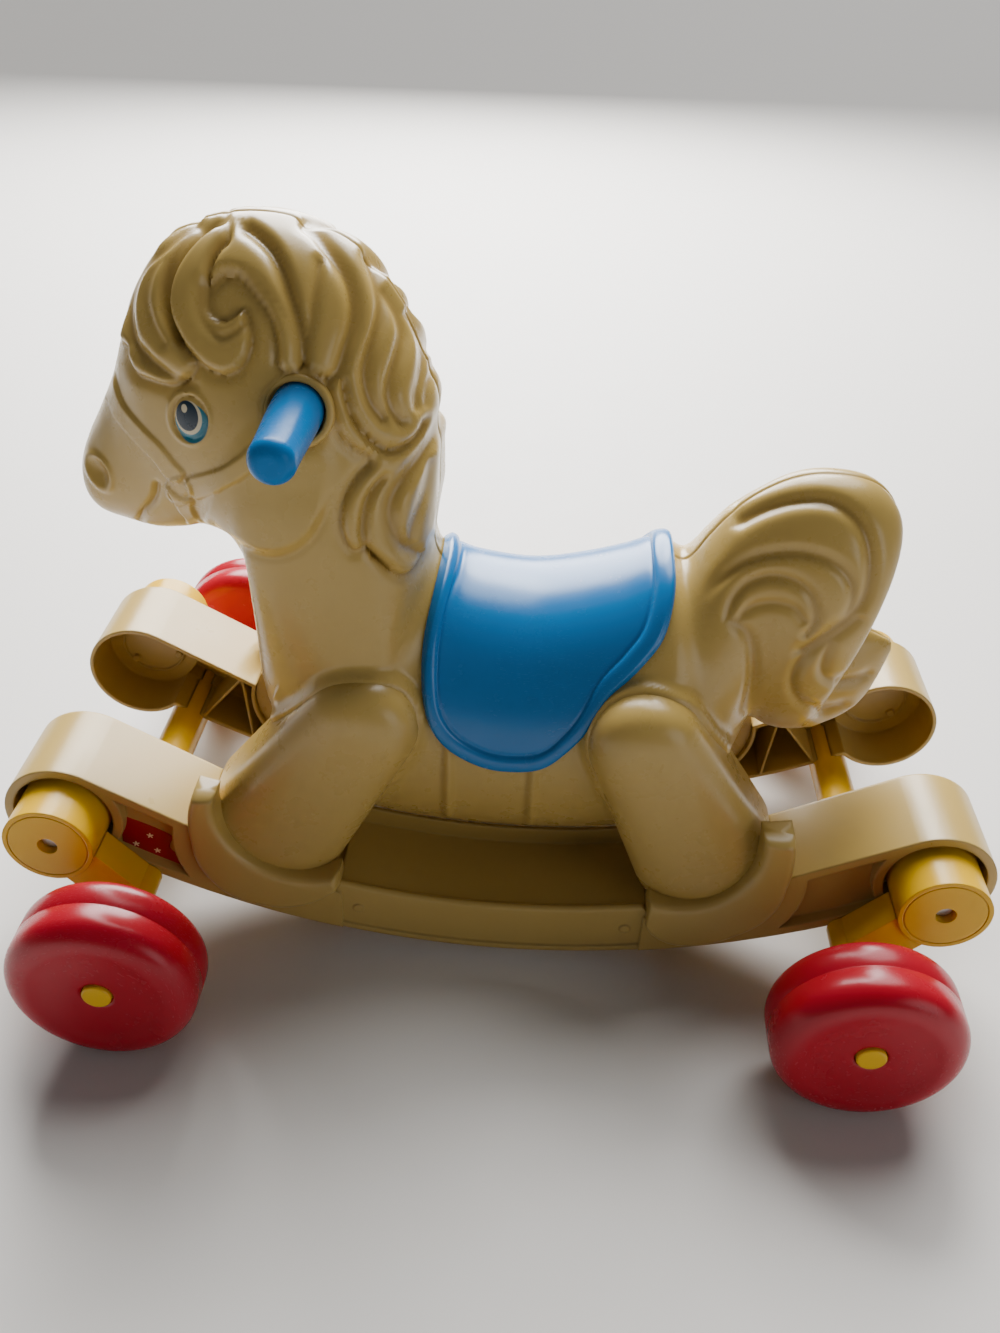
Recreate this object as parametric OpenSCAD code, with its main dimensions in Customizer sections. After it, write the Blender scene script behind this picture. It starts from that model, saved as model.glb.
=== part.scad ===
// Ride-on horse that rolls on four wheels and rocks on its rails when the wheels are swung up.
// The nose points to -X and the tail to +X, the horse's left side is -Y and the floor is Z = 0.

/* [Horse body] */
// Length that the side outline is drawn on
horse_length = 600; // [570:1:630]
// Height that the side outline is drawn on
horse_height = 500; // [485:1:520]
// Width of the barrel
horse_width = 180; // [172:1:188]
// Wall of the two body mouldings
body_wall = 3; // [2:0.1:4]

/* [Legs] */
// Distance of a leg's outer face from the middle plane
leg_outer_y = 118; // [114:1:120]
// Distance of a leg's inner edge from the middle plane
leg_inner_y = 57; // [54:1:64]
// Radius of the rounded hip and shoulder
hip_radius = 40; // [34:1:46]
// Radius of the rounded foot
foot_radius = 52; // [46:1:56]
// Height of the hip and shoulder centres
hip_height = 197; // [185:1:205]
// Height of the foot centres
foot_height = 97; // [94:1:106]
// Shoulder centre, forward of the middle
shoulder_x = 98; // [88:1:108]
// Front foot centre, forward of the middle
front_foot_x = 162; // [154:1:168]
// Hip centre, behind the middle
hip_x = 98; // [88:1:108]
// Rear foot centre, behind the middle
rear_foot_x = 152; // [146:1:160]

/* [Handlebar] */
// Diameter of the bar
handle_d = 28; // [24:0.5:32]
// Length of the bar from end to end
handle_length = 300; // [270:1:330]
// Rounding of the bar's ends
handle_round = 9; // [4:0.5:11]

/* [Saddle] */
// Thickness of the saddle sheet
saddle_thickness = 3.5; // [2.5:0.1:5]
// Extra thickness of the bead round its edge
saddle_bead = 3; // [1.5:0.1:4.5]

/* [Rails] */
// Distance between the front and rear hub axes
hub_spacing = 620; // [604:1:640]
// Height of the hub axes
hub_height = 116; // [113:0.5:119]
// Radius of the rail's rounded ends
rail_end_radius = 42; // [40:0.5:43]
// Slope of the rail's top from its end down to the foot rest, in degrees
rail_slope = 28.5; // [27:0.5:30]
// Radius of the rocker curve
rocker_radius = 586; // [560:1:620]
// Height of the rocker curve over the floor when the wheels are down
rocker_clearance = 10; // [6:0.5:13]
// Distance of the rail's inner edge from the middle plane
rail_inner_y = 53; // [50:0.5:55]
// Distance of the rail's outer face from the middle plane
rail_outer_y = 121; // [120:0.5:122]
// Wall of the rail moulding
rail_wall = 3; // [2.2:0.1:4]
// Half length of the foot rest
footrest_half = 112; // [106:1:116]
// Height of the foot rest's outer flange
flange_height = 44; // [38:1:48]

/* [Swing frames] */
// Diameter of the hub drum
drum_d = 63; // [58:0.5:66]
// Distance of the drum's outer face from the middle plane
drum_face_y = 151.6; // [148:0.2:158]
// Diameter of the cross tube
tube_d = 31; // [27:0.5:32]
// Cross tube's place, inward of the hub axis
tube_inset = 34; // [32:0.5:36]
// Cross tube's place, below the hub axis
tube_drop = 50.3; // [49:0.1:52]
// Wheel axle's place, inward of the hub axis
axle_inset = 54.5; // [50:0.5:58]

/* [Wheels] */
// Diameter of a wheel
wheel_d = 129; // [125:0.5:132]
// Width of a wheel
wheel_width = 54; // [46:0.5:58]
// Distance of a wheel's outer face from the middle plane
wheel_face_y = 237; // [232:0.5:244]
// Rounding of a wheel's shoulders
wheel_shoulder = 15; // [10:0.5:18]
// Wall of the hollow wheel
wheel_wall = 3; // [2:0.1:4]
// Diameter of an axle
axle_d = 10; // [8:0.5:12]
// Diameter of the axle's cap
cap_d = 20; // [17:0.5:23]

/* [Hidden] */
$fn = 64;

// Fits
running_gap = 0.06;
seat_gap = 0.4;
saddle_gap = 1.3;
push_gap = 0.03;
overrun = 1;

// Colours of the mouldings
cream = [0.86, 0.80, 0.64];
blue = [0.03, 0.36, 0.68];
red = [0.62, 0.03, 0.08];
yellow = [0.95, 0.72, 0.05];
steel = [0.7, 0.7, 0.72];

// Body outline from nose to tail. Each row pairs a point of the lower outline with one of the upper
// outline and gives the half width there: shares of length, height, length, height and half width.
trunk_shares = [
    [-0.495, 0.666, -0.495, 0.666, 0.000],
    [-0.488, 0.634, -0.492, 0.700, 0.233],
    [-0.473, 0.612, -0.482, 0.730, 0.356],
    [-0.443, 0.600, -0.462, 0.774, 0.433],
    [-0.412, 0.592, -0.442, 0.822, 0.500],
    [-0.382, 0.596, -0.425, 0.876, 0.578],
    [-0.350, 0.604, -0.403, 0.936, 0.690],
    [-0.312, 0.584, -0.367, 0.986, 0.800],
    [-0.293, 0.528, -0.308, 1.010, 0.880],
    [-0.300, 0.452, -0.243, 1.010, 0.930],
    [-0.305, 0.376, -0.178, 0.978, 0.955],
    [-0.300, 0.304, -0.127, 0.900, 0.967],
    [-0.283, 0.240, -0.097, 0.790, 0.978],
    [-0.247, 0.184, -0.093, 0.680, 0.990],
    [-0.200, 0.146, -0.095, 0.582, 1.000],
    [-0.140, 0.128, -0.067, 0.550, 1.000],
    [-0.067, 0.118, -0.020, 0.538, 0.990],
    [0.008, 0.116, 0.028, 0.536, 0.990],
    [0.083, 0.120, 0.078, 0.548, 1.000],
    [0.158, 0.134, 0.128, 0.568, 1.000],
    [0.230, 0.164, 0.173, 0.592, 0.955],
    [0.275, 0.244, 0.198, 0.588, 0.800],
    [0.298, 0.330, 0.223, 0.632, 0.633],
    [0.308, 0.332, 0.255, 0.682, 0.544],
    [0.318, 0.324, 0.298, 0.718, 0.556],
    [0.327, 0.320, 0.343, 0.730, 0.578],
    [0.338, 0.316, 0.393, 0.720, 0.567],
    [0.348, 0.314, 0.428, 0.676, 0.511],
    [0.358, 0.312, 0.428, 0.616, 0.422],
    [0.372, 0.312, 0.407, 0.560, 0.344],
    [0.395, 0.320, 0.375, 0.514, 0.278],
    [0.437, 0.362, 0.420, 0.494, 0.178],
    [0.463, 0.468, 0.463, 0.472, 0.000],
];
// Squareness of the body's cross section
section_power = 2.1;
// Station along the outline, and turn from belly to back, where the bar leaves the head
handle_station_share = 9.75;
handle_turn_share = 0.654;
handle_lean_share = 0.03;
// Stations and turns where the two halves are screwed together
body_screw_shares = [[5.6, 0.46], [10.6, 0.46], [16.4, 0.42], [21.4, 0.60], [24.0, 0.56]];

// Lower edge of the hair, as stations and the turns where it starts
hair_edge_shares = [
    [4.50, 1.00], [5.00, 0.88], [5.50, 0.79], [5.85, 0.71], [6.20, 0.66], [6.70, 0.63], [7.30, 0.62],
    [7.80, 0.65], [8.30, 0.65], [8.65, 0.67], [8.90, 0.72], [9.30, 0.70], [9.75, 0.71], [10.20, 0.70],
    [10.70, 0.69], [11.00, 0.66], [11.15, 0.61], [11.40, 0.60], [11.70, 0.63], [12.10, 0.66], [12.60, 0.71],
    [13.00, 0.78], [13.40, 0.89], [13.75, 1.00],
];
// Grooves between the main locks of the forelock and the mane, as stations and turns
hair_groove_shares = [
    [[5.40, 1.00], [5.60, 0.88], [5.90, 0.78], [6.25, 0.71], [6.80, 0.66], [7.50, 0.63]],
    [[7.95, 0.96], [7.40, 0.88], [7.15, 0.80], [7.20, 0.74], [7.65, 0.66]],
    [[8.10, 1.00], [8.15, 0.90], [8.00, 0.80], [8.25, 0.76], [8.55, 0.79], [8.90, 0.77], [9.05, 0.71]],
    [[8.40, 0.95], [9.00, 0.86], [9.45, 0.78], [9.70, 0.70]],
    [[9.15, 1.00], [9.70, 0.93], [10.15, 0.86], [10.25, 0.78], [10.20, 0.70]],
    [[10.30, 0.74], [10.60, 0.72], [11.00, 0.73], [11.40, 0.77], [11.70, 0.84], [11.87, 0.92]],
    [[12.30, 1.00], [12.10, 0.87], [11.87, 0.74], [12.10, 0.70], [12.50, 0.73], [13.10, 0.81]],
];
// Grooves between the locks of the tail, as stations and turns
tail_groove_shares = [
    [
        [22.70, 0.92], [23.60, 0.89], [24.90, 0.87], [25.60, 0.80], [26.20, 0.72], [26.40, 0.64], [26.00, 0.57],
        [25.00, 0.49], [24.75, 0.43], [25.10, 0.37], [26.00, 0.34], [27.50, 0.34], [29.50, 0.37],
    ],
    [[21.30, 0.82], [23.00, 0.75], [25.00, 0.70], [25.80, 0.65], [25.95, 0.60]],
    [[22.10, 0.66], [22.50, 0.69], [23.60, 0.67], [24.60, 0.61], [24.95, 0.53]],
    [[22.10, 0.66], [22.90, 0.50], [22.80, 0.42], [22.30, 0.33]],
    [[25.80, 0.50], [26.20, 0.44], [27.20, 0.45], [29.80, 0.54]],
];

// Saddle edge from its front to its rear, as stations and turns from belly to back
saddle_edge_shares = [
    [14.50, 1.00], [14.50, 0.88], [14.55, 0.77], [14.78, 0.68], [15.15, 0.59], [15.65, 0.53], [16.30, 0.50],
    [16.90, 0.495], [17.45, 0.505], [17.85, 0.54], [18.15, 0.58], [18.50, 0.66], [19.00, 0.72], [19.45, 0.77],
    [19.80, 0.87], [19.88, 1.00],
];
saddle_centre_share = 17;
// Rings of the saddle from its middle to its edge, and how much of the bead each one has
saddle_ring_shares = [
    [0.12, 0], [0.24, 0], [0.36, 0], [0.48, 0], [0.60, 0], [0.71, 0], [0.81, 0], [0.90, 0], [0.92, 0.6],
    [0.945, 1], [0.975, 1], [0.993, 0.6], [1, 0],
];

// Locks of the hair
hair_rise = 4;
hair_edge_share = 0.045;
hair_groove = 6;
tail_groove = 3.6;
groove_half = 11;

// Handlebar and its sockets in the head
handle_r = handle_d / 2;
handle_core_r = 11.5;
handle_socket_wall = 4;
handle_mouth_r = 19;
handle_mouth_depth = 7;
handle_lip_wall = 3;
handle_lip_proud = 1;
grip_clearance = 4;

// Screws
screw_r = 2.2;
screw_head_r = 4.4;
screw_head_h = 3;
screw_boss_wall = 3;
boss_bite = 0.6;
body_screw_length = 46;
body_screw_bite = 16;
rail_screw_length = 34;
rail_screw_boss = 28;
rail_screw_recess = 5;

// Rails
hub_x = hub_spacing / 2;
rocker_z = rocker_clearance + rocker_radius;
well_r = 35.5;
well_floor_y = 97;
well_back_y = well_floor_y - rail_wall;
panel_y = 112;
panel_border = 7;
rail_draft = 0.6;
hoof_band = 16;
hoof_grow = 4;
hoof_rim_rise = 45;
hoof_rim_r = 64;
hoof_proud = 4.5;
hoof_step = 2;
hoof_heel = 4;
toe_x = 224;
rib_foot_xs = [262, 219];
rib_wall = 2;
post_r = 10;
post_end_y = 138;
well_ring_r = 27;
well_ring_wall = 1.5;
well_ring_h = 2;
well_stud_r = 3;
well_stud_h = 3;
well_stud_place_r = 22;
well_stud_turns = [200, 320];
lip_r = 3.2;
floor_drop = 4;
flange_inset = 2.5;
plinth_y = 46;
plinth_rise = 15;
foot_bead = 1.5;
foot_bead_h = 5;
flange_mark_r = 4;
flange_mark_h = 0.8;
flange_mark_x = 100;

// Swing frames
drum_r = drum_d / 2;
drum_wall = 3;
drum_recess_r = 7;
drum_recess_depth = 10;
drum_groove_r = 28.2;
drum_groove = 0.8;
hub_screw_r = 2.5;
hub_screw_head_r = 6;
hub_screw_head_h = 4;
hub_screw_bite = 20;
hub_washer_gap = 0.3;
tube_r = tube_d / 2;
tube_wall = 3;
tube_x = hub_x - tube_inset;
tube_z = hub_height - tube_drop;
arm_gap = 2.5;
arm_back_y = rail_outer_y + arm_gap;
arm_face_y = drum_face_y - drum_wall;
arm_half_width = 17;
tube_boss_wall = 4.5;
tube_end_wall = 3;
axle_x = hub_x - axle_inset;

// Wheels and axles
wheel_r = wheel_d / 2;
axle_r = axle_d / 2;
axle_z = wheel_r;
axle_boss_wall = 6;
wheel_back_y = wheel_face_y - wheel_width;
wheel_dish_r = 46;
wheel_dish = 4;
wheel_side_gap = 0.5;
wheel_hub_wall = 4;
wheel_line_w = 0.8;
wheel_line_depth = 0.5;
cap_r = cap_d / 2;
cap_sink = 4;
cap_proud = 2;
cap_thickness = cap_sink + cap_proud;
cap_round = 1.5;
cap_sink_gap = 0.5;
cap_sink_r = cap_r + cap_sink_gap;
cap_back_y = wheel_face_y - wheel_dish - cap_sink;

// Smooth curve through four neighbours at the fraction f between the middle two
function spline(a, b, c, d, f) =
    (2 * b + (c - a) * f + (2 * a - 5 * b + 4 * c - d) * f * f + (3 * b - a - 3 * c + d) * f * f * f) / 2;
function row_at(table, i) = table[max(0, min(len(table) - 1, i))];
function on_table(table, s) =
    let (i = min(len(table) - 2, floor(s)))
    spline(row_at(table, i - 1), row_at(table, i), row_at(table, i + 1), row_at(table, i + 2), s - i);
function unit(v) = v / norm(v);

// Real sizes of the body's station s
trunk_scale = [horse_length, horse_height, horse_length, horse_height, horse_width / 2];
function station(s) =
    let (row = on_table(trunk_shares, s)) [for (k = [0:4]) row[k] * trunk_scale[k]];
// Outward direction of the lower or upper outline at station s
slope_step = 0.1;
function outline_run(s, k) =
    let (a = station(max(0, s - slope_step)), b = station(min(len(trunk_shares) - 1, s + slope_step)))
    unit([b[k] - a[k], b[k + 1] - a[k + 1]]);
function lower_normal(s) = let (v = outline_run(s, 0)) [v[1], -v[0]];
function upper_normal(s) = let (v = outline_run(s, 2)) [-v[1], v[0]];
// Point of the body's skin at station s and turn a from belly (0) to back (180), moved out by grow
function skin(s, a, grow = 0) =
    let (
        row = station(s),
        low = [row[0], row[1]] + grow * lower_normal(s),
        top = [row[2], row[3]] + grow * upper_normal(s),
        along = sign(cos(a)) * pow(abs(cos(a)), 2 / section_power),
        across = pow(abs(sin(a)), 2 / section_power),
        mid = (low + top) / 2 - along * (top - low) / 2
    )
    [mid[0], (row[4] + grow) * across, mid[1]];
function skin_at(shares, grow = 0) = skin(shares[0], shares[1] * 180, grow);

// Bell of 1 on the nearest of the lines through points of the skin, falling to 0 beside it
function gap_to(p, a, b) =
    let (run = b - a, f = max(0, min(1, (p - a) * run / (run * run)))) norm(p - a - f * run);
function groove_at(p, lines) =
    let (gap = min([for (line = lines, k = [0:len(line) - 2]) gap_to(p, line[k], line[k + 1])]))
    exp(-pow(gap / groove_half, 2));
function smooth(f) = let (g = max(0, min(1, f))) g * g * (3 - 2 * g);
hair_lines = [for (line = hair_groove_shares) [for (shares = line) skin_at(shares)]];
tail_lines = [for (line = tail_groove_shares) [for (shares = line) skin_at(shares)]];
// Height of the moulded hair over the plain skin, which fades out round the bar
function relief(s, a) =
    let (
        p = skin(s, a),
        hair = smooth((a / 180 - lookup(s, hair_edge_shares)) / hair_edge_share),
        bar = smooth((norm(p - handle_at) - handle_mouth_r - handle_lip_wall) / groove_half)
    )
    hair > 0 ? hair * bar * (hair_rise - hair_groove * groove_at(p, hair_lines)) : -tail_groove * groove_at(p, tail_lines);

// Half of the horse's trunk, from nose to tail on the +Y side, as a shell that is open at the seam.
// Its rings are closer together where there is hair, and its turns towards the back. The hollow is plain:
// at each ring it lies below the deepest groove.
ring_step = 0.5;
hair_ring_step = 0.3;
hair_station_shares = [[4.5, 13.8], [21, 29.7]];
ring_turns = 24;
hollow_turns = 10;
turn_bias = 1.35;
module trunk_half(wall) {
    last = len(trunk_shares) - 1;
    function in_hair(s) = len([for (span = hair_station_shares) if (s > span[0] && s < span[1]) 1]) > 0;
    stations = [
        for (s = ring_step; s < last; s = s + (in_hair(s) ? hair_ring_step : ring_step)) s
    ];
    n = len(stations);
    m = ring_turns + 1;
    w = hollow_turns + 1;
    turns = [for (j = [0:ring_turns]) 180 * (1 - pow(1 - j / ring_turns, turn_bias))];
    rises = [for (s = stations) [for (a = turns) relief(s, a)]];
    outer = [for (i = [0:n - 1], j = [0:ring_turns]) skin(stations[i], turns[j], rises[i][j])];
    inner = [
        for (i = [0:n - 1], j = [0:hollow_turns]) skin(stations[i], 180 * j / hollow_turns, min(rises[i]) - wall)
    ];
    nose = skin(0, 0);
    tail = skin(last, 0);
    nose_in = nose + wall * unit(skin(1, 90) - nose - [0, skin(1, 90)[1], 0]);
    tail_in = tail + wall * unit(skin(last - 1, 90) - tail - [0, skin(last - 1, 90)[1], 0]);
    points = concat(outer, inner, [nose, tail, nose_in, tail_in]);
    b = n * m;
    p_nose = b + n * w;
    p_tail = p_nose + 1;
    p_nose_in = p_nose + 2;
    p_tail_in = p_nose + 3;
    e = (n - 1) * m;
    f = b + (n - 1) * w;
    skin_faces = [
        for (i = [0:n - 2], j = [0:ring_turns - 1])
            let (a = i * m + j, c = a + m)
            each [[a, c, c + 1], [a, c + 1, a + 1]]
    ];
    hollow_faces = [
        for (i = [0:n - 2], j = [0:hollow_turns - 1])
            let (a = b + i * w + j, c = a + w)
            each [[a, c + 1, c], [a, a + 1, c + 1]]
    ];
    cap_faces = [for (j = [0:ring_turns - 1]) each [[p_nose, j, j + 1], [e + j, p_tail, e + j + 1]]];
    hollow_cap_faces = [
        for (j = [0:hollow_turns - 1]) each [[p_nose_in, b + j + 1, b + j], [f + j, f + j + 1, p_tail_in]]
    ];
    seam_faces = [
        for (i = [0:n - 2])
            let (a = i * m, c = a + m, u = a + ring_turns, v = c + ring_turns)
            let (g = b + i * w, h = g + w, x = g + hollow_turns, y = h + hollow_turns)
            each [[a, g, h], [a, h, c], [u, v, y], [u, y, x]]
    ];
    end_faces = [
        [p_nose, p_nose_in, b], [p_nose, b, 0],
        [p_nose, ring_turns, b + hollow_turns], [p_nose, b + hollow_turns, p_nose_in],
        [e, f, p_tail_in], [e, p_tail_in, p_tail],
        [e + ring_turns, p_tail, p_tail_in], [e + ring_turns, p_tail_in, f + hollow_turns]
    ];
    polyhedron(
        points,
        concat(skin_faces, hollow_faces, cap_faces, hollow_cap_faces, seam_faces, end_faces),
        convexity = 6
    );
}

// Outline of a leg: two circles and their outer tangents, drawn in by inset
leg_arc_steps = 11;
function leg_outline(hip, hip_r, foot, foot_r, inset) =
    let (
        v = foot - hip,
        turn = atan2(v[1], v[0]),
        lean = 90 - asin((hip_r - foot_r) / norm(v)),
        a = hip_r - inset,
        b = foot_r - inset
    )
    concat(
        [for (k = [0:leg_arc_steps]) let (t = turn - lean + 2 * lean * k / leg_arc_steps) foot + b * [cos(t), sin(t)]],
        [
            for (k = [0:leg_arc_steps])
                let (t = turn + lean + (360 - 2 * lean) * k / leg_arc_steps) hip + a * [cos(t), sin(t)]
        ]
    );
// Layers of a leg from its inner edge to its outer face: inset and height as shares
leg_layer_shares = [[0, 0], [0, 0.5], [0.02, 0.64], [0.07, 0.77], [0.16, 0.87], [0.30, 0.94], [0.52, 0.985], [0.80, 1]];
module leg_form(hip, foot, shrink, inner_y) {
    outer_y = leg_outer_y - shrink;
    hip_r = hip_radius - shrink;
    foot_r = foot_radius - shrink;
    count = 2 * (leg_arc_steps + 1);
    layers = len(leg_layer_shares);
    points = [
        for (layer = leg_layer_shares)
            let (y = inner_y + (outer_y - inner_y) * layer[1])
            for (p = leg_outline(hip, hip_r, foot, foot_r, layer[0] * hip_r)) [p[0], y, p[1]]
    ];
    sides = [
        for (k = [0:layers - 2], i = [0:count - 1])
            let (a = k * count + i, d = k * count + (i + 1) % count)
            each [[a, d, d + count], [a, d + count, a + count]]
    ];
    ends = [[for (i = [count - 1:-1:0]) i], [for (i = [0:count - 1]) (layers - 1) * count + i]];
    polyhedron(points, concat(sides, ends), convexity = 4);
}
front_hip = [-shoulder_x, hip_height];
front_foot = [-front_foot_x, foot_height];
rear_hip = [hip_x, hip_height];
rear_foot = [rear_foot_x, foot_height];

// Places along Y
module along_y(low, high) {
    translate([0, high, 0]) rotate([90, 0, 0]) linear_extrude(high - low) children();
}
module rod(x, z, r, low, high) {
    translate([x, high, z]) rotate([90, 0, 0]) cylinder(h = high - low, r = r);
}
module on_side(side) {
    if (side > 0) children();
    else mirror([0, 1, 0]) children();
}

// Horse body
handle_at = skin_at([handle_station_share, handle_turn_share]);
handle_lean = let (
    run = skin_at([handle_station_share, handle_turn_share + handle_lean_share])
        - skin_at([handle_station_share, handle_turn_share - handle_lean_share])
) atan2(-run[1], run[2]);
// Stands an outline on the head's skin where the bar leaves it, from low to high along the skin's normal
module on_handle_skin(low, high) {
    translate(handle_at) rotate([handle_lean - 90, 0, 0]) translate([0, 0, low]) linear_extrude(high - low) children();
}
rail_screw_xs = [-front_foot_x, rear_foot_x];
module body_half(side) {
    socket_r = handle_core_r + seat_gap;
    on_side(side) difference() {
        union() {
            difference() {
                union() {
                    trunk_half(body_wall);
                    leg_form(front_hip, front_foot, 0, leg_inner_y);
                    leg_form(rear_hip, rear_foot, 0, leg_inner_y);
                }
                leg_form(front_hip, front_foot, body_wall, leg_inner_y - overrun);
                leg_form(rear_hip, rear_foot, body_wall, leg_inner_y - overrun);
            }
            for (x = rail_screw_xs)
                translate([x, rail_screw_y, foot_height - foot_radius + body_wall / 2])
                    cylinder(h = rail_screw_boss, r = screw_r + screw_boss_wall);
            rod(handle_at[0], handle_at[2], socket_r + handle_socket_wall, 0, handle_at[1] - handle_mouth_depth);
            on_handle_skin(-handle_mouth_depth - handle_lip_wall, handle_lip_proud)
                circle(handle_mouth_r + handle_lip_wall);
            for (shares = body_screw_shares) {
                at = skin_at(shares);
                rod(at[0], at[2], screw_head_r + screw_boss_wall, 0, at[1] - body_wall + boss_bite);
            }
        }
        rod(handle_at[0], handle_at[2], socket_r, -overrun, handle_at[1]);
        on_handle_skin(-handle_mouth_depth, handle_mouth_r) circle(handle_mouth_r);
        for (x = rail_screw_xs) rail_screw_hole(x);
        for (shares = body_screw_shares) {
            at = skin_at(shares);
            if (side > 0) {
                rod(at[0], at[2], screw_r + push_gap, -overrun, horse_width);
                rod(at[0], at[2], screw_head_r + seat_gap, body_screw_length - body_screw_bite, horse_width);
            } else {
                rod(at[0], at[2], screw_r + push_gap, -overrun, body_screw_bite + overrun);
            }
        }
    }
}
module body_left() { color(cream) body_half(-1); }
module body_right() { color(cream) body_half(1); }

// Saddle, a sheet over the back with a bead round its edge
saddle_steps = 24;
module saddle() {
    last = len(saddle_edge_shares) - 1;
    edge = [for (k = [0:saddle_steps]) on_table(saddle_edge_shares, last * k / saddle_steps)];
    loop = concat(
        [for (k = [0:saddle_steps]) [edge[k][0], edge[k][1], -1]],
        [for (k = [saddle_steps - 1:-1:1]) [edge[k][0], edge[k][1], 1]]
    );
    n = len(loop);
    rings = len(saddle_ring_shares);
    function place(p, r, grow) =
        let (
            s = saddle_centre_share + (p[0] - saddle_centre_share) * r,
            q = skin(s, 180 * (1 - (1 - min(1, p[1])) * r), grow)
        )
        [q[0], p[2] * q[1], q[2]];
    low = [for (ring = saddle_ring_shares, p = loop) place(p, ring[0], saddle_gap)];
    high = [
        for (ring = saddle_ring_shares, p = loop)
            place(p, ring[0], saddle_gap + saddle_thickness + saddle_bead * ring[1])
    ];
    mid = [
        skin(saddle_centre_share, 180, saddle_gap),
        skin(saddle_centre_share, 180, saddle_gap + saddle_thickness)
    ];
    b = n * rings;
    m = 2 * b;
    sheet = [
        for (i = [0:rings - 2], k = [0:n - 1])
            let (a = i * n + k, d = i * n + (k + 1) % n, c = d + n, e = a + n)
            each [[a, e, c], [a, c, d], [b + a, b + c, b + e], [b + a, b + d, b + c]]
    ];
    middle = [
        for (k = [0:n - 1])
            let (d = (k + 1) % n)
            each [[m, k, d], [m + 1, b + d, b + k]]
    ];
    rim = [
        for (k = [0:n - 1])
            let (a = (rings - 1) * n + k, d = (rings - 1) * n + (k + 1) % n)
            each [[a, b + a, b + d], [a, b + d, d]]
    ];
    color(blue) polyhedron(concat(low, high, mid), concat(sheet, middle, rim), convexity = 6);
}

// Handlebar: a core held in the head's sockets between two thicker grips with rounded ends
module handlebar() {
    half = handle_length / 2;
    flat = handle_r - handle_round;
    grip_start = handle_at[1] + grip_clearance;
    color(blue) translate([handle_at[0], 0, handle_at[2]]) rotate([90, 0, 0]) rotate_extrude() {
        translate([0, -half]) square([flat, handle_length]);
        translate([0, -grip_start]) square([handle_core_r, 2 * grip_start]);
        for (end = [0, 1]) mirror([0, end]) {
            translate([0, grip_start]) square([handle_r, half - handle_round - grip_start]);
            translate([flat, half - handle_round]) intersection() {
                circle(handle_round);
                translate([0, -handle_round]) square([handle_round, 2 * handle_round]);
            }
        }
    }
}

// Side outline of one rail end with its hoof, drawn in by inset
function rail_top_at(x, inset) =
    let (r = rail_end_radius - inset, at = [hub_x, hub_height] + r * [-sin(rail_slope), cos(rail_slope)])
    at[1] - (at[0] - x) * tan(rail_slope);
module rail_outline(inset) {
    r = rail_end_radius - inset;
    touch = [hub_x, hub_height] + r * [-sin(rail_slope), cos(rail_slope)];
    heel = footrest_half + inset;
    translate([hub_x, hub_height]) circle(r);
    intersection() {
        translate([0, rocker_z]) circle(rocker_radius - inset, $fn = 200);
        polygon([[heel, 0], [heel, rail_top_at(heel, inset)], touch, [hub_x, hub_height], [hub_x, 0]]);
    }
}
module leg_pocket(hip, foot, grow) {
    translate(foot) circle(foot_radius + grow);
    polygon(leg_outline(hip, hip_radius, foot, foot_radius, -grow));
}
// Hoof that cups the end of the leg: the foot's round less the rim's, drawn in by inset
module hoof_outline(hip, foot, inset) {
    difference() {
        intersection() {
            translate(foot) circle(foot_radius + hoof_grow - inset);
            translate([footrest_half + hoof_heel + inset, 0]) square([hub_x, rocker_z]);
        }
        translate(foot + hoof_rim_rise * unit(hip - foot)) circle(hoof_rim_r + inset);
    }
}
// Way of the leg past the hoof
module leg_opening(hip, foot) {
    difference() {
        leg_pocket(hip, foot, seat_gap);
        hoof_outline(hip, foot, 0);
    }
}
// Ribs that stiffen the toe, from the top of the rail to its curve
module toe_ribs() {
    top = [toe_x, rail_top_at(toe_x, 0)];
    for (x = rib_foot_xs) {
        foot = [x, rocker_at(x)];
        side = rib_wall / 2 * unit([foot[1] - top[1], top[0] - foot[0]]);
        polygon([top - side, top + side, foot + side, foot - side]);
    }
}
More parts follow.
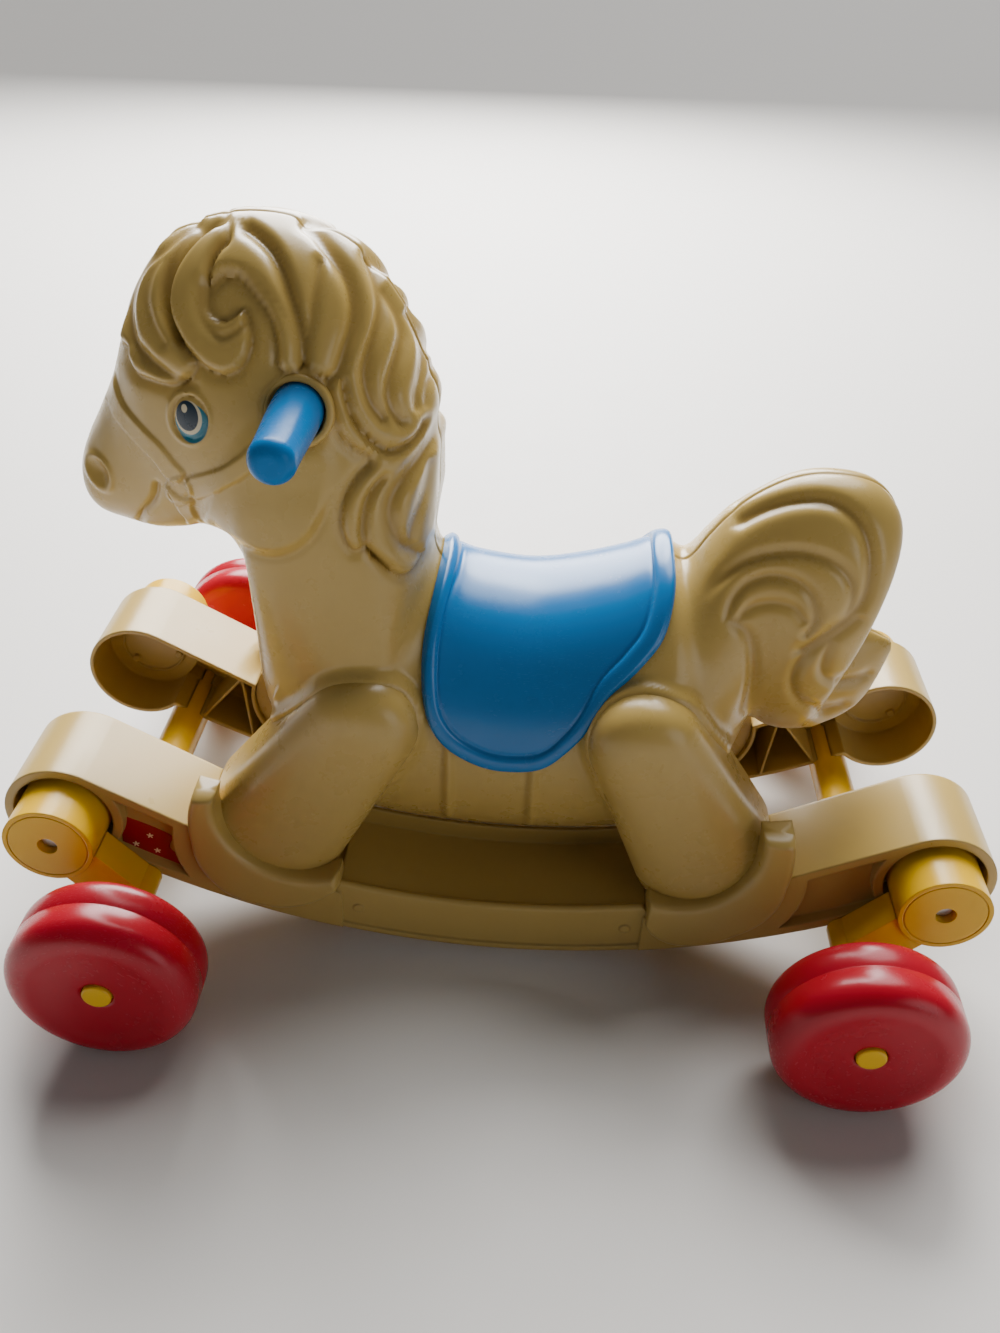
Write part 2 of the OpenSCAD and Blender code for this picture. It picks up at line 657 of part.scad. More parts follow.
// One end of the +Y rail, at the +X end, shaped round the leg with this hip and foot
module rail_end(hip, foot) {
    difference() {
        union() {
            difference() {
                along_y(rail_inner_y, rail_outer_y) rail_outline(0);
                along_y(rail_inner_y - overrun, well_back_y) difference() {
                    rail_outline(rail_wall);
                    leg_pocket(hip, foot, seat_gap + rail_wall);
                    toe_ribs();
                }
                along_y(well_back_y - overrun, panel_y - rail_wall) difference() {
                    rail_outline(rail_wall + rail_draft);
                    leg_pocket(hip, foot, seat_gap + hoof_band);
                    translate([hub_x, hub_height]) circle(well_r + rail_wall);
                }
                rod(hub_x, hub_height, well_r, well_floor_y, rail_outer_y + overrun);
                along_y(panel_y, rail_outer_y + overrun) difference() {
                    rail_outline(panel_border);
                    leg_pocket(hip, foot, seat_gap + hoof_band + rail_wall);
                    square([foot[0], rocker_z]);
                    translate([hub_x, hub_height]) circle(well_r + panel_border);
                }
            }
            rod(hub_x, hub_height, post_r, well_back_y, post_end_y);
            along_y(panel_y, rail_outer_y + hoof_proud - hoof_step) hoof_outline(hip, foot, 0);
            along_y(panel_y, rail_outer_y + hoof_proud) hoof_outline(hip, foot, hoof_step);
            difference() {
                rod(hub_x, hub_height, well_ring_r, well_back_y - well_ring_h, well_floor_y);
                rod(hub_x, hub_height, well_ring_r - well_ring_wall, well_back_y - well_ring_h - overrun, well_back_y);
            }
            for (t = well_stud_turns)
                rod(
                    hub_x + well_stud_place_r * cos(t), hub_height + well_stud_place_r * sin(t), well_stud_r,
                    well_back_y - well_stud_h, well_floor_y
                );
            translate([foot[0], rail_screw_y, rocker_at(foot[0]) + rail_wall])
                cylinder(h = foot_height - foot_radius - rocker_at(foot[0]), r = screw_head_r + seat_gap + rail_wall);
        }
        rod(hub_x, hub_height, hub_screw_r + push_gap, post_end_y - hub_screw_bite - overrun, post_end_y + overrun);
        rod(tube_x, tube_z, tube_r + seat_gap, rail_inner_y - overrun, rail_outer_y + overrun);
    }
}
// Screw from under the rail into the foot
rail_screw_y = (leg_inner_y + leg_outer_y) / 2;
function rocker_at(x) = rocker_z - sqrt(rocker_radius * rocker_radius - x * x);
module rail_screw_hole(x) {
    translate([x, rail_screw_y, 0]) {
        cylinder(h = rocker_at(x) + rail_screw_recess + rail_screw_length, r = screw_r + push_gap);
        cylinder(h = rocker_at(x) + rail_screw_recess, r = screw_head_r + seat_gap);
    }
}
// Foot rest between the hooves, turned about the rocker axis
module foot_rest() {
    lip_radius = rocker_radius - flange_height;
    floor_radius = lip_radius + floor_drop;
    flange_y = rail_outer_y - flange_inset;
    half_turn = asin((footrest_half + rail_wall) / floor_radius);
    translate([0, 0, rocker_z]) rotate([-90, 0, 0]) rotate([0, 0, 90 - half_turn])
        rotate_extrude(angle = 2 * half_turn, $fn = 200) {
            translate([floor_radius, plinth_y - rail_wall]) square([rail_wall, flange_y - plinth_y + rail_wall]);
            translate([lip_radius + lip_r, flange_y - rail_wall]) square([flange_height - lip_r, rail_wall]);
            translate([lip_radius + lip_r, flange_y - lip_r]) circle(lip_r);
            translate([floor_radius - plinth_rise, plinth_y - rail_wall]) square([plinth_rise, rail_wall]);
            translate([rocker_radius - foot_bead_h, flange_y]) square([foot_bead_h, foot_bead]);
        }
    for (x = [-flange_mark_x, flange_mark_x])
        rod(x, rocker_z - sqrt(pow(rocker_radius - flange_height / 2, 2) - x * x), flange_mark_r,
            flange_y - rail_wall, flange_y + flange_mark_h);
}
module rail(side) {
    on_side(side) difference() {
        union() {
            rail_end(rear_hip, rear_foot);
            mirror([1, 0, 0]) rail_end([shoulder_x, hip_height], [front_foot_x, foot_height]);
            foot_rest();
        }
        along_y(rail_inner_y - overrun, leg_outer_y + seat_gap) {
            leg_pocket(rear_hip, rear_foot, seat_gap);
            leg_pocket(front_hip, front_foot, seat_gap);
        }
        along_y(leg_outer_y, rail_outer_y + hoof_proud + overrun) {
            leg_opening(rear_hip, rear_foot);
            mirror([1, 0]) leg_opening([shoulder_x, hip_height], [front_foot_x, foot_height]);
        }
        for (x = rail_screw_xs) rail_screw_hole(x);
    }
}
module rail_left() { color(cream) rail(-1); }
module rail_right() { color(cream) rail(1); }

// Swing arm at the +X end on the +Y side: hub drum, beam and bosses for the cross tube and the axle
module swing_arm() {
    drum_back_y = well_floor_y + seat_gap;
    bore_r = post_r + running_gap;
    recess_floor_y = drum_face_y - drum_recess_depth;
    hub = [hub_x, hub_height];
    lobe = [(tube_x + axle_x) / 2, (tube_z + axle_z) / 2];
    run = unit(lobe - hub);
    side = arm_half_width * [-run[1], run[0]];
    start = hub + (drum_r - drum_wall - overrun) * run;
    socket_end_y = arm_face_y - tube_end_wall;
    difference() {
        union() {
            difference() {
                rod(hub_x, hub_height, drum_r, drum_back_y, drum_face_y);
                rod(hub_x, hub_height, drum_r - drum_wall, drum_back_y - overrun, drum_face_y - drum_wall);
            }
            rod(hub_x, hub_height, bore_r + drum_wall, drum_back_y, drum_face_y - overrun);
            rod(hub_x, hub_height, drum_recess_r + drum_wall, post_end_y, drum_face_y - overrun);
            along_y(arm_back_y, arm_face_y) difference() {
                polygon([start - side, start + side, lobe + side, lobe - side]);
                translate(hub) circle(drum_r - drum_wall - overrun);
            }
            along_y(arm_back_y, arm_face_y) hull() {
                translate([tube_x, tube_z]) circle(tube_r + tube_boss_wall);
                translate([axle_x, axle_z]) circle(axle_r + axle_boss_wall);
            }
            rod(axle_x, axle_z, axle_r + axle_boss_wall, arm_back_y, wheel_back_y - wheel_side_gap);
        }
        rod(hub_x, hub_height, bore_r, drum_back_y - overrun, post_end_y + seat_gap);
        rod(hub_x, hub_height, hub_screw_r + seat_gap, post_end_y, drum_face_y + overrun);
        rod(hub_x, hub_height, drum_recess_r, recess_floor_y, drum_face_y + overrun);
        difference() {
            rod(hub_x, hub_height, drum_groove_r, drum_face_y - drum_groove, drum_face_y + overrun);
            rod(hub_x, hub_height, drum_groove_r - drum_groove, drum_face_y - 2 * drum_groove, drum_face_y + 2 * overrun);
        }
        rod(tube_x, tube_z, tube_r + push_gap, arm_back_y - overrun, socket_end_y);
        rod(axle_x, axle_z, axle_r + push_gap, arm_back_y - overrun, wheel_back_y);
    }
}
module at_corner(end, side) {
    if (end > 0) on_side(side) children();
    else mirror([1, 0, 0]) on_side(side) children();
}
module front_arm_left() { color(yellow) at_corner(-1, -1) swing_arm(); }
module front_arm_right() { color(yellow) at_corner(-1, 1) swing_arm(); }
module rear_arm_left() { color(yellow) at_corner(1, -1) swing_arm(); }
module rear_arm_right() { color(yellow) at_corner(1, 1) swing_arm(); }

// Cross tube between the two arms of a frame
module cross_tube(end) {
    half = arm_face_y - tube_end_wall - push_gap;
    difference() {
        rod(end * tube_x, tube_z, tube_r, -half, half);
        rod(end * tube_x, tube_z, tube_r - tube_wall, -half - overrun, half + overrun);
    }
}
module front_cross_tube() { color(yellow) cross_tube(-1); }
module rear_cross_tube() { color(yellow) cross_tube(1); }

// Wheel at the +X end on the +Y side: a hollow turned form with a dished face
module wheel_section(inset) {
    r = wheel_r - inset;
    w = wheel_width - 2 * inset;
    round_r = wheel_shoulder - inset;
    translate([0, inset]) difference() {
        union() {
            square([r - round_r, w]);
            translate([0, round_r]) square([r, w - 2 * round_r]);
            for (y = [round_r, w - round_r]) translate([r - round_r, y]) circle(round_r);
        }
        polygon([[0, w + overrun], [wheel_dish_r, w + overrun], [wheel_dish_r, w], [cap_r, w - wheel_dish], [0, w - wheel_dish]]);
    }
}
module wheel() {
    bore_r = axle_r + running_gap;
    sink = cap_sink + wheel_side_gap;
    translate([axle_x, wheel_back_y, axle_z]) rotate([-90, 0, 0]) rotate_extrude($fn = 96) difference() {
        wheel_section(0);
        difference() {
            wheel_section(wheel_wall);
            square([bore_r + wheel_hub_wall, wheel_width]);
            translate([0, wheel_width - wheel_dish - sink - wheel_wall]) square([cap_sink_r + wheel_wall, wheel_width]);
        }
        square([bore_r, wheel_width]);
        translate([0, wheel_width - wheel_dish - sink]) square([cap_sink_r, wheel_width]);
        translate([wheel_r - wheel_line_depth, (wheel_width - wheel_line_w) / 2]) square([wheel_dish_r, wheel_line_w]);
    }
}
module wheel_front_left() { color(red) at_corner(-1, -1) wheel(); }
module wheel_front_right() { color(red) at_corner(-1, 1) wheel(); }
module wheel_rear_left() { color(red) at_corner(1, -1) wheel(); }
module wheel_rear_right() { color(red) at_corner(1, 1) wheel(); }

// Axle pin with its round cap, pushed into the arm's boss
module axle() {
    length = cap_back_y - arm_back_y;
    translate([axle_x, arm_back_y, axle_z]) rotate([-90, 0, 0]) rotate_extrude() {
        square([axle_r, length + cap_round]);
        translate([0, length]) square([cap_r, cap_thickness - cap_round]);
        translate([0, length]) square([cap_r - cap_round, cap_thickness]);
        translate([cap_r - cap_round, length + cap_thickness - cap_round]) circle(cap_round);
    }
}
module axle_front_left() { color(yellow) at_corner(-1, -1) axle(); }
module axle_front_right() { color(yellow) at_corner(-1, 1) axle(); }
module axle_rear_left() { color(yellow) at_corner(1, -1) axle(); }
module axle_rear_right() { color(yellow) at_corner(1, 1) axle(); }

// Screws
module hub_screws() {
    seat_y = drum_face_y - drum_recess_depth + hub_washer_gap;
    color(steel) for (end = [-1, 1], side = [-1, 1]) at_corner(end, side) {
        rod(hub_x, hub_height, hub_screw_r, post_end_y - hub_screw_bite, seat_y + hub_screw_head_h / 2);
        rod(hub_x, hub_height, hub_screw_head_r, seat_y, seat_y + hub_screw_head_h);
    }
}
module rail_screws() {
    color(steel) for (side = [-1, 1], x = rail_screw_xs) on_side(side) {
        seat_z = rocker_at(x) + rail_screw_recess;
        translate([x, rail_screw_y, seat_z - screw_head_h]) {
            cylinder(h = screw_head_h, r = screw_head_r);
            cylinder(h = rail_screw_length, r = screw_r);
        }
    }
}
module body_screws() {
    seat_y = body_screw_length - body_screw_bite;
    color(steel) for (shares = body_screw_shares) {
        at = skin_at(shares);
        rod(at[0], at[2], screw_r, -body_screw_bite, seat_y + screw_head_h / 2);
        rod(at[0], at[2], screw_head_r, seat_y, seat_y + screw_head_h);
    }
}

body_left();
body_right();
saddle();
handlebar();
rail_left();
rail_right();
front_arm_left();
front_arm_right();
front_cross_tube();
rear_arm_left();
rear_arm_right();
rear_cross_tube();
wheel_front_left();
wheel_front_right();
wheel_rear_left();
wheel_rear_right();
axle_front_left();
axle_front_right();
axle_rear_left();
axle_rear_right();
hub_screws();
rail_screws();
body_screws();
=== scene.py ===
"""Looks of the ride-on horse that rolls on four wheels and rocks on its rails.

All shapes are worked out in millimetres in the frame of the part: the nose points to -X, the
horse's left side is -Y and the floor is Z = 0. They go into the meshes in metres.
"""

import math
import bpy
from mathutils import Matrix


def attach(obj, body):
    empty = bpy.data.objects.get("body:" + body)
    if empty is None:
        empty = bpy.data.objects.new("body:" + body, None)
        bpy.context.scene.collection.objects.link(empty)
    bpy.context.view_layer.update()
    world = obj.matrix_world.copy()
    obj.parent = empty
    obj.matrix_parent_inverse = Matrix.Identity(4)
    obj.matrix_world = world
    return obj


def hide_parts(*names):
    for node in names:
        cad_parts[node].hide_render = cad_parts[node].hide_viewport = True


bl_info = {
    "name": "Ride-on horse",
    "version": (1, 0, 0),
    "blender": (4, 5, 0),
    "location": "View3D > Sidebar > Horse",
    "description": "Moulded horse body, saddle, bar, wheels and finishes around the packed part",
    "category": "Object",
}

from functools import partial, partialmethod

import bmesh
import bpy
import numpy as np
from bpy.props import FloatProperty, FloatVectorProperty, PointerProperty
from bpy.types import Operator, Panel, PropertyGroup
from mathutils import Matrix

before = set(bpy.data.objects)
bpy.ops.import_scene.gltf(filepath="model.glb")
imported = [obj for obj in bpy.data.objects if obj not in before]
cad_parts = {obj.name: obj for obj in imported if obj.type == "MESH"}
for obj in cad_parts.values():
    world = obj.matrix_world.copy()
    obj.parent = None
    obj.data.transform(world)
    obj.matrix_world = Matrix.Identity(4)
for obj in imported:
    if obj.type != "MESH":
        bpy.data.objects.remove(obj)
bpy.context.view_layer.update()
MM = 0.001
MERGE_DISTANCE = 0.001 * MM
TINY = 1e-9

# The sides with the sign that sets a left grid there, and the ends with the sign of their x
SIDES = (("left", 1), ("right", -1))
ENDS = (("front", -1), ("rear", 1))

# The photograph's viewing point: place, directions to the right, up and forward, and the image in pixels
VIEW_AT = np.array([13.239, -704.178, 701.918])
VIEW_RIGHT = np.array([0.9971, 0.0621, 0.0449])
VIEW_UP = np.array([-0.0729, 0.5866, 0.8066])
VIEW_AHEAD = np.array([-0.0237, 0.8075, -0.5894])
VIEW_FOCUS = 1151.0
VIEW_SIZE = np.array([1000.0, 1333.0])

# Side outline from nose to tail: x and z below, x and z above, half width
TRUNK = np.array([
    [-297, 333, -297, 333, 0], [-293, 317, -295, 350, 21], [-284, 306, -289, 365, 32],
    [-266, 300, -277, 387, 39], [-247, 296, -265, 411, 45], [-229, 298, -255, 438, 52],
    [-210, 302, -242, 468, 62], [-187, 292, -220, 493, 72], [-176, 264, -185, 505, 79],
    [-180, 226, -146, 505, 84], [-183, 188, -107, 489, 86], [-180, 152, -76, 450, 87],
    [-170, 120, -58, 395, 88], [-148, 92, -56, 340, 89], [-120, 73, -57, 291, 90],
    [-84, 64, -40, 275, 90], [-40, 59, -12, 269, 89], [5, 58, 17, 268, 89],
    [50, 60, 47, 274, 90], [95, 67, 77, 284, 90], [138, 82, 104, 296, 86],
    [165, 122, 119, 294, 72], [179, 165, 134, 316, 57], [185, 166, 153, 341, 49],
    [191, 162, 179, 359, 50], [196, 160, 206, 365, 52], [203, 158, 236, 360, 51],
    [209, 157, 257, 338, 46], [215, 156, 257, 308, 38], [223, 156, 244, 280, 31],
    [237, 160, 225, 257, 25], [262, 181, 252, 247, 16], [278, 234, 278, 236, 0],
], float)
SECTION_POWER = 2.1
# Rows of the trunk's grid as station and steps to the next one, its turns beside the seam, and those between
TRUNK_ROWS = (
    (0.02, 16), (1.0, 292), (13.8, 8), (15.2, 24), (16.2, 10), (17.0, 32), (18.4, 44), (21.2, 104),
    (31.0, 11), (31.98, 0),
)
SEAM_TURNS = np.array([0, 0.0016, 0.0034, 0.0055, 0.0080, 0.0110])
SIDE_TURNS = (0.010, 0.990, 148)
# Stations where the reliefs of head and tail fade and between which the girth lies, and the tail's notch
HEAD_FADE, TAIL_FADE, MIDDLE = (13.6, 14.1), (21.2, 22.4), (11, 21)
NOTCH_START, NOTCH_STOP, NOTCH_TURNS = (28.45, 29.1), (30.15, 30.7), (0.62, 0.80)
# How squarely a place has to face the viewing point for its relief to grow from none to full
FACING = (0.02, 0.30)
SEAM_WIDTH, SEAM_LINE = 1.7, 0.9
LEG_POWER = 2.6
LEG_INNER, LEG_OUTER = 57.0, 118.0
HIP_R, FOOT_R = 40.0, 52.0
LEGS = np.array([[[-98.0, 197.0], [-162.0, 97.0]], [[98.0, 197.0], [152.0, 97.0]]])
# Distances from the middle of the horse between which the fillet round a leg grows to its full size
LEG_ROOT = (48, 66)
# Handlebar: where it leaves the left cheek, the cheek's lean, the bar, its hole and the ring round that
BAR_AT = np.array([-133.231, -76.148, 417.967])
BAR_LEAN = math.radians(16.319)
BAR_R, BAR_ROOT_R, BAR_HALF, BAR_ROUND = 14.0, 15.8, 150.0, 9.0
HOLE_R, HOLE_DEPTH, LIP_WALL = 17.4, 7.0, 3.6
HOLE_WALL, LIP_FADE = (14.5, 20.5), (-2, 7)
BAR_RING = np.array([
    [HOLE_R, -10], [HOLE_R, 0.2], [17.6, 0.8], [18.0, 1.2], [18.6, 1.4], [20.4, 1.4], [21.0, 1.2],
    [21.5, 0.7], [21.8, 0.0], [22.2, -3.0], [22.0, -10],
])
# Edge of the saddle as stations and turns
SADDLE_EDGE = np.array([
    [14.30, 1.00], [14.30, .88], [14.38, .77], [14.64, .68], [15.05, .595], [15.60, .54], [16.30, .51],
    [16.95, .505], [17.50, .515], [17.92, .55], [18.26, .59], [18.70, .66], [19.32, .71], [19.85, .765],
    [20.20, .87], [20.26, 1.00],
])
SADDLE_MIDDLE = 17.0
SADDLE_GAP, BEAD_WIDTH = 1.3, 13.0
EDGE_STEPS = 110
AXLE_X, AXLE_Z = 255.5, 64.5
WHEEL_FACE, WHEEL_WIDTH, WHEEL_SHOULDER = 237.0, 54.0, 15.0
WHEEL_BORE, WHEEL_FLAT, WHEEL_PARTING = 5.4, 36.0, 0.6
# Outer face of a wheel, from its shoulder to the recess of the cap, as radius and depth
WHEEL_DISH = np.array([
    [48, 0], [46.5, 0.12], [45, 0.35], [43, 0.85], [41, 1.35], [38, 1.9], [34, 2.4], [29, 2.85], [20, 3.5],
    [13, 3.9], [11.2, 4.1], [10.6, 5.0], [10.5, 8.0], [WHEEL_BORE, 8.2],
])

# Boards: flat drawing planes of the photograph's view, as left and top pixel and units per pixel
HEAD_BOARD = (60.0, 180.0, 3.5643)
TAIL_BOARD = (660.0, 440.0, 5.227)
PLAIN_BOARD = (0.0, 0.0, 1.0)

# Locks of the forelock and mane as closed loops on the head board
PARTING = [
    (595, 155), (550, 170), (505, 200), (460, 245), (425, 295), (400, 345), (385, 400), (382, 450),
    (392, 505), (418, 562), (455, 607),
]
FORELOCK = [
    (600, 100), *PARTING, (488, 650), (470, 698), (440, 725), (390, 732), (330, 717), (275, 692),
    (245, 640), (230, 585), (150, 560), (110, 400), (230, 180), (450, 60),
]
COMMA = [
    (610, 110), *PARTING, (500, 655), (550, 687), (597, 696), (642, 676), (670, 637), (683, 587),
    (682, 535), (664, 480), (645, 462), (613, 490), (577, 503), (543, 482), (524, 445), (524, 400),
    (531, 340), (546, 290), (572, 248), (602, 212), (625, 150),
]
MANE = [
    (612, 60), (602, 212), (572, 248), (546, 290), (532, 340), (527, 402), (546, 364), (576, 340),
    (614, 334), (660, 365), (708, 422), (744, 480), (764, 535), (775, 610), (776, 660), (802, 685),
    (845, 685), (872, 660), (895, 686), (940, 703), (962, 712), (952, 745), (956, 795), (976, 856),
    (1006, 915), (1050, 960), (1098, 986), (1108, 1010), (1070, 1047), (1036, 1095), (1010, 1155),
    (1000, 1215), (1010, 1272), (1040, 1318), (1085, 1322), (1120, 1347), (1165, 1387), (1210, 1406),
    (1250, 1400), (1300, 1345), (1330, 1262), (1460, 1250), (1560, 800), (1450, 300), (1150, 40), (800, 20),
]
# How far the locks, the face beside them and the line of painted shade at their foot slope, on the board
LOCK_SLOPE, FACE_SLOPE, LOCK_LINE = 32, 26, 9
# Grooves between strands: points on the head board, depth in mm at this lock height, slope on each side
STRAND_HEIGHT, LINE_DEPTH = 3.2, 4.0
STRANDS = [
    ([(495, 167), (430, 202), (370, 255), (315, 300), (280, 355), (260, 420), (255, 485), (265, 560),
      (295, 610), (345, 660), (400, 700), (450, 722)], 3.6, 26, 16),
    ([(490, 172), (450, 210), (415, 260), (390, 310), (376, 365), (371, 415), (375, 468), (390, 512),
      (418, 570)], 3.2, 24, 14),
    ([(375, 285), (340, 335), (322, 390), (318, 440), (330, 490), (350, 540), (380, 585)], 1.8, 22, 22),
    ([(505, 380), (500, 440), (511, 490), (541, 535), (582, 560), (630, 542), (668, 510)], 2.6, 26, 22),
    ([(675, 180), (710, 205), (755, 250), (785, 300), (806, 350), (822, 400), (842, 455), (860, 520),
      (870, 580), (872, 645)], 4.6, 18, 34),
    ([(640, 330), (690, 360), (735, 400), (780, 450), (810, 505)], 1.4, 14, 14),
    ([(925, 300), (917, 360), (906, 430), (895, 505), (884, 580), (874, 645)], 2.8, 20, 24),
    ([(875, 172), (915, 205), (955, 255), (995, 310), (1025, 360), (1042, 420), (1046, 480), (1038, 540),
      (1018, 600), (1002, 655), (985, 700)], 4.4, 24, 30),
    ([(1095, 285), (1112, 330), (1128, 380), (1138, 440), (1134, 500), (1118, 560), (1098, 620),
      (1084, 680), (1090, 740), (1112, 800), (1150, 850)], 4.0, 24, 28),
    ([(1145, 398), (1178, 445), (1202, 492), (1216, 550), (1206, 610), (1190, 662), (1172, 720),
      (1166, 770), (1180, 820), (1212, 858)], 3.8, 24, 28),
    ([(1225, 480), (1252, 520), (1272, 562), (1285, 622), (1280, 700), (1266, 760), (1266, 806)],
     3.2, 22, 24),
    ([(1300, 570), (1312, 622), (1312, 684), (1294, 742), (1292, 802)], 2.4, 20, 20),
    ([(1006, 722), (1016, 770), (1036, 830), (1070, 888), (1110, 930), (1150, 958), (1190, 962),
      (1238, 942), (1278, 908), (1300, 862)], 4.6, 20, 16),
    ([(1150, 1062), (1116, 1100), (1090, 1150), (1080, 1205), (1077, 1260), (1090, 1306), (1122, 1345),
      (1166, 1384)], 4.2, 20, 18),
    ([(1362, 862), (1318, 940), (1276, 1010), (1232, 1064), (1198, 1110), (1182, 1160), (1183, 1210),
      (1202, 1260), (1232, 1298), (1256, 1308)], 4.4, 16, 46),
    ([(1312, 1005), (1296, 1090), (1272, 1165), (1252, 1230), (1242, 1285)], 2.6, 18, 26),
]
# Straps of the bridle as closed loops on the head board
NOSEBAND = [
    (170, 650), (196, 690), (205, 725), (225, 785), (260, 835), (310, 890), (360, 940), (405, 995),
    (447, 1046), (420, 1075), (380, 1060), (335, 1002), (285, 950), (235, 895), (195, 845), (172, 785),
    (140, 745), (120, 690),
]
CHEEK_STRAP = [
    (455, 1062), (525, 1040), (590, 1015), (650, 972), (720, 920), (735, 990), (655, 1060), (600, 1090),
    (540, 1120), (488, 1136), (462, 1110),
]
CHIN_STRAP = [
    (378, 1082), (405, 1135), (425, 1180), (447, 1205), (470, 1260), (530, 1270), (512, 1216), (490, 1195),
    (474, 1165), (478, 1138), (430, 1120),
]
# Features of the face: places and half sizes on the head board, turns in degrees, heights in mm
CROWN_AT, CROWN_REACH = (606.0, 92.0), (25, 110)
PIT_AT, PIT_SIZE, PIT_DEPTH = (612, 425), (88, 80), 3.5
MOUTH = [(284, 1216), (297, 1186), (320, 1162), (340, 1126), (345, 1088)]
MOUTH_DEPTH, MOUTH_SLOPES = 2.4, (14, 11)
BROW = [(392, 770), (404, 744), (440, 726), (488, 732)]
BROW_DEPTH, BROW_SLOPES = 1.0, (10, 14)
STRAP_EDGE = (-2, 7)
ROSETTE_AT, ROSETTE_EDGE, ROSETTE_RISE = (427.0, 1103.0), (44, 54), 1.3
EYE_AT, EYE_SIZE, EYE_TURN, EYE_DOME = (462.0, 848.0), (70, 92), -17.0, 1.6
NOSTRIL_AT, NOSTRIL_SIZE, NOSTRIL_TURN = (140.0, 1040.0), (34, 66), -29.0
# Rings of the face: height, distance from the middle and width, as shares of the half size or on the board
EYE_RINGS = ((1.1, 1.02, 0.11), (-1.2, 0.86, 0.07))
NOSTRIL_RINGS = ((1.6, 1.0, 0.25), (-3.2, 0.0, 0.62))
ROSETTE_RINGS = ((-0.7, 36, 4),)
# Painted eye from the rim inwards, as centres and half sizes
EYE_OVALS = ((470, 866, 56, 72), (461, 846, 45, 62), (456, 839, 38, 55), (446, 812, 10, 15))
EYE_WHITE = (0.60, 0.53, 0.36)
# The jaw's loop, with a soft edge above and a hard one below these levels on the board, and their heights
JAW_LEVELS, JAW_SOFT, JAW_HARD = (1080, 1230), (-45, 40), (-6, 34)
JAW_SOFT_RISE, JAW_HARD_RISE, JAW_GROOVE = 2.4, 4.2, 0.9
JAW = [
    (640, 1290), (700, 1325), (775, 1335), (860, 1302), (925, 1225), (955, 1120), (960, 1010), (900, 920),
    (760, 860), (600, 1000), (520, 1150), (515, 1225),
]
# Grooves between the tail's locks: points on the tail board, depth in mm, and how far each side slopes
TAIL_RISE = 1.2
TAIL_STRANDS = [
    ([(420, 420), (520, 370), (610, 338), (710, 316), (850, 312), (960, 350), (1048, 430), (1098, 540),
      (1110, 680), (1082, 820), (1005, 928), (880, 1020), (745, 1110)], 4.2, 34, 44),
    ([(190, 850), (300, 742), (430, 645), (560, 602), (720, 590), (860, 620), (958, 682), (1008, 760),
      (1012, 850), (985, 920)], 3.4, 40, 34),
    ([(352, 930), (382, 842), (450, 760), (560, 718), (680, 732), (770, 792), (812, 882), (806, 960),
      (770, 1020)], 3.4, 34, 30),
    ([(410, 965), (440, 905), (505, 868), (600, 856), (695, 882), (752, 945)], 2.6, 34, 30),
    ([(1040, 935), (900, 1040), (770, 1115), (705, 1200), (690, 1290), (738, 1372), (850, 1412),
      (960, 1392)], 3.6, 34, 30),
    ([(905, 1040), (864, 1130), (850, 1215), (898, 1258), (1000, 1252), (1085, 1228)], 3.0, 34, 30),
    ([(350, 930), (440, 985), (482, 1070), (490, 1200), (470, 1330), (440, 1410)], 3.0, 30, 40),
]
# Hooves as the outer edge and the rim on the leg, in x and z; both cover the circles of the solid hoof
HOOVES = np.array([
    [[(-113, 64), (-125, 54), (-141, 44), (-161, 40), (-186, 44), (-204, 57), (-215, 80), (-220, 106),
      (-219, 128), (-214, 146)],
     [(-113, 77), (-130, 72), (-147, 71), (-163, 77), (-175, 85), (-187, 96), (-196, 108), (-200, 121),
      (-200, 134), (-198, 146)]],
    [[(113, 54), (119, 42), (134, 33), (153, 33), (174, 42), (193, 59), (205, 82), (210, 104), (210, 126),
      (207, 146)],
     [(113, 76), (122, 72), (134, 72), (148, 75), (160, 82), (170, 91), (178, 102), (184, 116), (186, 132),
      (185, 146)]],
], float)
HOOF_R, RIM_RISE, RIM_R = 57.4, 45.0, 62.2
# Profile of a hoof: distance from the outer edge or from the rim, and distance from the middle of the horse
HOOF_EDGE = np.array([
    [0, 100], [0, 119.5], [0.3, 121.9], [0.9, 123.5], [1.9, 124.8], [3.3, 125.7], [5.2, 126.2], [8.0, 126.4],
])
HOOF_RIM = np.array([
    [10, 126.3], [6.5, 126.1], [3.8, 125.7], [2.3, 125.0], [1.2, 123.9], [0.5, 122.4], [0.1, 119], [0.0, 104],
])
# What a hoof rises from, the length of its eased ends, their share of the rise, the full profile's width
HOOF_FLOOR, HOOF_END, HOOF_END_SHARE, HOOF_WIDTH = 112, 4, 0.25, 18
# Label on the front panels of the rails, as pixels of the photograph, and its three stars
LABEL = [
    (121, 815), (124, 815.6), (147, 824), (163.5, 831), (171.5, 835.5), (172.6, 839), (170.2, 844),
    (171.6, 849.4), (181.8, 856.5), (192, 866.5), (190, 866.8), (176.7, 863.7), (151, 855.5), (130.8, 849.4),
    (125.2, 845.3), (123, 840),
]
STARS = [(150.2, 835.3), (136.4, 843.3), (157.7, 850.1)]
STAR_POINTS, STAR_R, STAR_WAVE = 5.0, 1.9 * MM, 0.8 * MM
LABEL_RED, STAR_CREAM, STEEL = (0.34, 0.004, 0.012), (0.90, 0.70, 0.42), (0.55, 0.55, 0.57)
PANEL_Y, LABEL_THICK, LABEL_SUNK = 112.0, 0.35, 0.05
